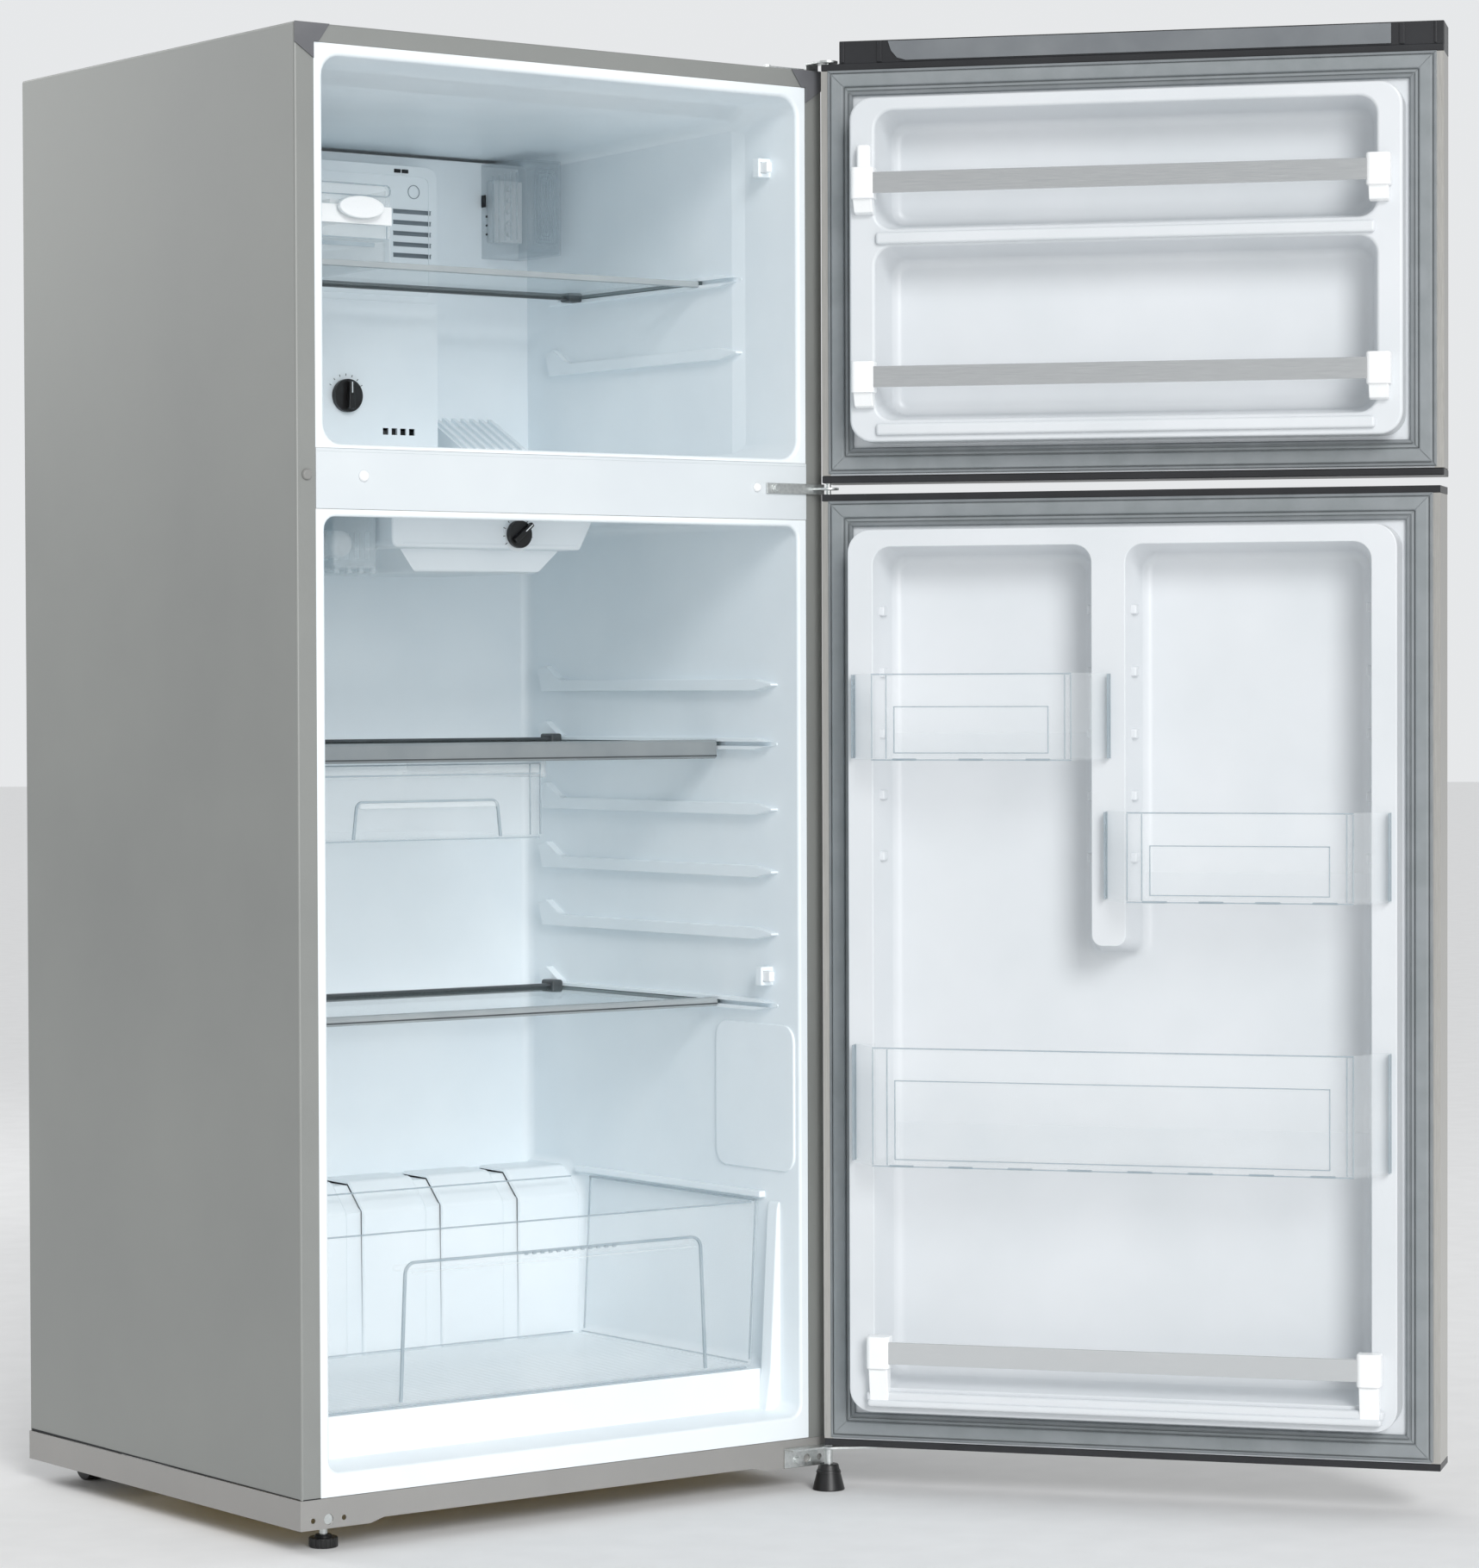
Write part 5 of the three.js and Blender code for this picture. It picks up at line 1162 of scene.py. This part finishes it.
class DoorBins(Piece):
    """Clear bins on the fresh-food door"""
    bl_idname = "refrigerator.door_bins"
    bl_label = "Door bins"

    def build(self, cabinet, door):
        for node, x0, x1, low, high, back in (
            ("upper_door_bin", 382.5, 643, 846, 944, 30),
            ("middle_door_bin", 67, 350.5, 688, 789, 30),
            ("lower_door_bin", 67, 643, 387, 522, 40),
        ):
            shape = outline("z", bin_outline(x0, x1, 0), low, high)
            corner = lambda a, b: along("z", a, b) and a[1] > 45
            round_edges(shape, 9, corner, 5)
            round_edges(shape, 4, ends(lambda p: p[2] < low + 0.5 and p[1] > 45), 3)
            hollow = round_edges(outline("z", bin_outline(x0, x1, 2.5), low + 2.5, high + 5), 7, corner, 5)
            cut(shape, hollow, block(0, WIDTH, -40, 32.4, low + back, high + 5))
            left, right = x0 + 15, x1 - 15
            parts = [toned(shape, "clear_styrene")]
            inner = (left + 26, right - 26)
            # The edge-tone lines paint the light gathered along the bin's clear edges.
            lines = [(left, right, high - 1.6, high), (left, right, low, low + 1.4)]
            lines += [(x, x + 1.2, low + 2, high - 2) for x in (left, left + 7, right - 18, right - 1.4)]
            lines += [(*inner, high - 38, high - 36.8), (inner[0], inner[0] + 1.2, low + 9, high - 37),
                      (inner[1] - 1.2, inner[1], low + 9, high - 37), (*inner, low + 8, low + 9.2)]
            parts += [slab(a, b, 88.3, 90.2, c, d, 0.4, "clear_edge") for a, b, c, d in lines]
            for x in (x0 - 18.5, x1 + 17.5):
                parts += [slab(x, x + 1.2, 34, 50, low + 2, high - 1, 0.3, "clear_edge"),
                          slab(x - 0.4, x + 1.6, 35, 37, low + 2, high - 1, 0.3, "clear_edge")]
            count = max(3, round((right - left) / 70))
            for k in range(count):
                x = left + (right - left) * (k + 0.5) / count
                parts.append(slab(x - 14, x + 14, 88.2, 89.8, low - 0.2, low + 2.4, 0.6, "clear_edge"))
            finish(gather(*parts), node + "_tub", "clear_styrene", node, "fridge_door")


class Handles(Piece):
    """Bar handles on the outer faces"""
    bl_idname = "refrigerator.handles"
    bl_label = "Handles"

    def build(self, cabinet, door):
        for leaf, low, high in (("freezer_door", 1204, 1514), ("fridge_door", 671, 1111)):
            bar = soften(rod("z", 48, -111, low, high - low, 8, sides=48), 2.4, 4)
            posts = []
            for z in (low + 30, high - 42):
                posts += [round_edges(block(42, 54, -111, -71.3, z, z + 12), 5, edges_along("y"), 4),
                          slab(39.5, 56.5, -73.4, -71.3, z - 2.5, z + 14.5, 0.7)]
            node = leaf.replace("_door", "_handle")
            finish(gather(bar, *posts), leaf + "_bar", "stainless", node, leaf)


class RearSide(Piece):
    """Compressor, drip tray, machine compartment wall and the rear panel with its ribs"""
    bl_idname = "refrigerator.rear_side"
    bl_label = "Rear side"

    def build(self, cabinet, door):
        band = soften(rod("z", 0, 0, 0, 5, 59.5, sides=64), 1.2)
        moved(band, (200, 538, 118), Matrix.Diagonal((1.4, 1, 1, 1)))
        cover = slab(262, 288, 512, 562, 92, 148, 4, None, 4)
        pads = [soften(rod("z", x, y, 52, 10, 9, sides=24), 2, 3) for x in (122, 278) for y in (496, 580)]
        pot = gather(copied("compressor", 1.0), band, cover, *pads)
        finish(pot, "compressor_pot", "enamel_black", "compressor")
        finish(copied("drip_tray", 1.2, 3), "drip_tray_pan", "trim_dark", "drip_tray")
        wall = [(470, 59.2), (471, 59.2), (471, 308), (604, 308), (604, 309), (470, 309)]
        folds = [slab(40, 671, 470.8, 472, z, z + 6, 0.8, None, 3) for z in (110, 190, 270)]
        finish(gather(outline("x", wall, 1.7, 709.3), *folds), "machine_room_wall", "rear_coat",
               slot="painted_steel")
        ribs = []
        for x in range(95, 745, 130):
            rib = round_edges(block(x - 9, x + 9, 605.4, 607.2, 380, 1560), 8.5, edges_along("y"), 6)
            ribs.append(soften(rib, 0.8, 3, 40))
        screws = [soften(rod("y", x, 605.6, z, 2.2, 5, 4, sides=24), 0.6)
                  for x in (18, 693) for z in range(340, 1940, 320)]
        finish(gather(copied("rear_panel"), *ribs, *screws), "rear_panel_sheet", "rear_coat", "rear_panel")


class HiddenParts(Piece):
    """Finishes of the frame pieces that keep their own shape"""
    bl_idname = "refrigerator.hidden_parts"
    bl_label = "Inner parts"

    def build(self, cabinet, door):
        for node, tone in (
            ("cabinet_insulation", "foam"), ("freezer_door_insulation", "foam"),
            ("fridge_door_insulation", "foam"), ("evaporator_coil", "fin_metal"),
            ("evaporator_fan_motor", "knob_black"), ("evaporator_fan_blade", "fitting_white"),
        ):
            toned(NODES[node], tone)


# The camera: its place in the cabinet's millimetres, and the directions of its view.
CAMERA_PLACE = (-2597.8, -4248.8, 928.6)
CAMERA_RIGHT = Vector((0.79989136, -0.60013557, -0.00333317))
CAMERA_UP = Vector((0.01509509, 0.01456671, 0.99977995))
CAMERA_AIM = Vector((0.59995496, 0.79976566, -0.02071089))
CAMERA_LENS = 106.64
LIGHT_GIVEN, LIGHT_SEEN = 0.58, 0.82


class Stage(bpy.types.Operator):
    """Floor, lights and camera"""
    bl_idname = "refrigerator.stage"
    bl_label = "Stage"

    def execute(self, context):
        look = context.scene.refrigerator_stage
        clear()
        bpy.ops.mesh.primitive_circle_add(vertices=64, radius=40, fill_type="NGON", location=(0, 0, 0))
        floor = context.object
        floor.name = "floor"
        floor.data.materials.append(moulded("floor_paint", "#eeeeee", "#f2f2f2", 0.85, 6.0, 0.005))
        world = bpy.data.worlds.new("studio")
        context.scene.world = world
        world.use_nodes = True
        # The backdrop is seen whiter than the light it gives, as a studio sweep with its own lamps would be.
        tree = world.node_tree
        backdrop = tree.nodes["Background"]
        backdrop.inputs["Color"].default_value = (0.97, 0.985, 1.0, 1)
        seen = add(tree, "ShaderNodeLightPath")
        power = add(tree, "ShaderNodeMapRange", {"To Min": LIGHT_GIVEN, "To Max": LIGHT_SEEN},
                    {"Value": (seen, "Is Camera Ray")})
        tree.links.new(power.outputs["Result"], backdrop.inputs["Strength"])
        for name, kind, place, aim, size, power in (
            ("key", "SUN", (-1.4, -3.7, 3.0), (-0.1, 0, 0.9), 0.35, look.key_power),
            ("fill", "AREA", (-1.3, -4.8, 1.5), (-0.1, 0.3, 0.7), 2.0, look.fill_power),
            ("back", "AREA", (-1.2, 4.2, 2.6), (0, 0.3, 0.9), 2.4, look.fill_power),
        ):
            data = bpy.data.lights.new(name + "_light", kind)
            if kind == "SUN":
                data.angle = size
            else:
                data.size = size
            data.energy = power
            lamp = bpy.data.objects.new(name + "_light", data)
            context.scene.collection.objects.link(lamp)
            lamp.location = place
            lamp.rotation_euler = (Vector(aim) - Vector(place)).to_track_quat("-Z", "Y").to_euler()
        data = bpy.data.cameras.new("camera")
        data.lens, data.sensor_width, data.clip_end = CAMERA_LENS, 36, 200
        camera = bpy.data.objects.new("camera", data)
        context.scene.collection.objects.link(camera)
        basis = Matrix((CAMERA_RIGHT, CAMERA_UP, -CAMERA_AIM)).transposed().to_4x4()
        camera.matrix_world = Matrix.Translation(here(*CAMERA_PLACE)) @ basis
        context.scene.camera = camera
        context.scene.view_settings.view_transform = "Standard"
        # Light crosses many thin clear walls, and a white cavity is lit by many bounces.
        context.scene.cycles.transparent_max_bounces = 32
        context.scene.cycles.diffuse_bounces = 8
        return {"FINISHED"}


class RefrigeratorPanel(bpy.types.Panel):
    """Lists the pieces and their sizes"""
    bl_idname = "VIEW3D_PT_refrigerator"
    bl_label = "Refrigerator"
    bl_space_type = "VIEW_3D"
    bl_region_type = "UI"
    bl_category = "Refrigerator"

    def draw(self, context):
        column = self.layout.column()
        for look, names in (
            (context.scene.refrigerator_cabinet, ("panel_edge", "freezer_corner", "fridge_corner", "mouth")),
            (context.scene.refrigerator_door, ("pocket_corner", "rim_edge")),
            (context.scene.refrigerator_stage, ("key_power", "fill_power")),
        ):
            for name in names:
                column.prop(look, name)
        for step in STEPS:
            column.operator(step.bl_idname)


STEPS = (
    CabinetShell, Hinges, Feet, FreezerLiner, FridgeLiner, EvaporatorCover, FreezerFittings, ControlHousing,
    Shelves, Drawers, Switches, DoorShells, DoorLiners, DoorRails, DoorBins, Handles, RearSide, HiddenParts,
    Stage,
)
CLASSES = (CabinetLook, DoorLook, StageLook, *STEPS, RefrigeratorPanel)


def register():
    for kind in CLASSES:
        bpy.utils.register_class(kind)
    bpy.types.Scene.refrigerator_cabinet = bpy.props.PointerProperty(type=CabinetLook)
    bpy.types.Scene.refrigerator_door = bpy.props.PointerProperty(type=DoorLook)
    bpy.types.Scene.refrigerator_stage = bpy.props.PointerProperty(type=StageLook)


def unregister():
    del bpy.types.Scene.refrigerator_stage
    del bpy.types.Scene.refrigerator_door
    del bpy.types.Scene.refrigerator_cabinet
    for kind in reversed(CLASSES):
        bpy.utils.unregister_class(kind)


def main():
    register()
    mix_finishes()
    for step in STEPS:
        group, name = step.bl_idname.split(".")
        getattr(getattr(bpy.ops, group), name)()


if __name__ == "__main__":
    main()
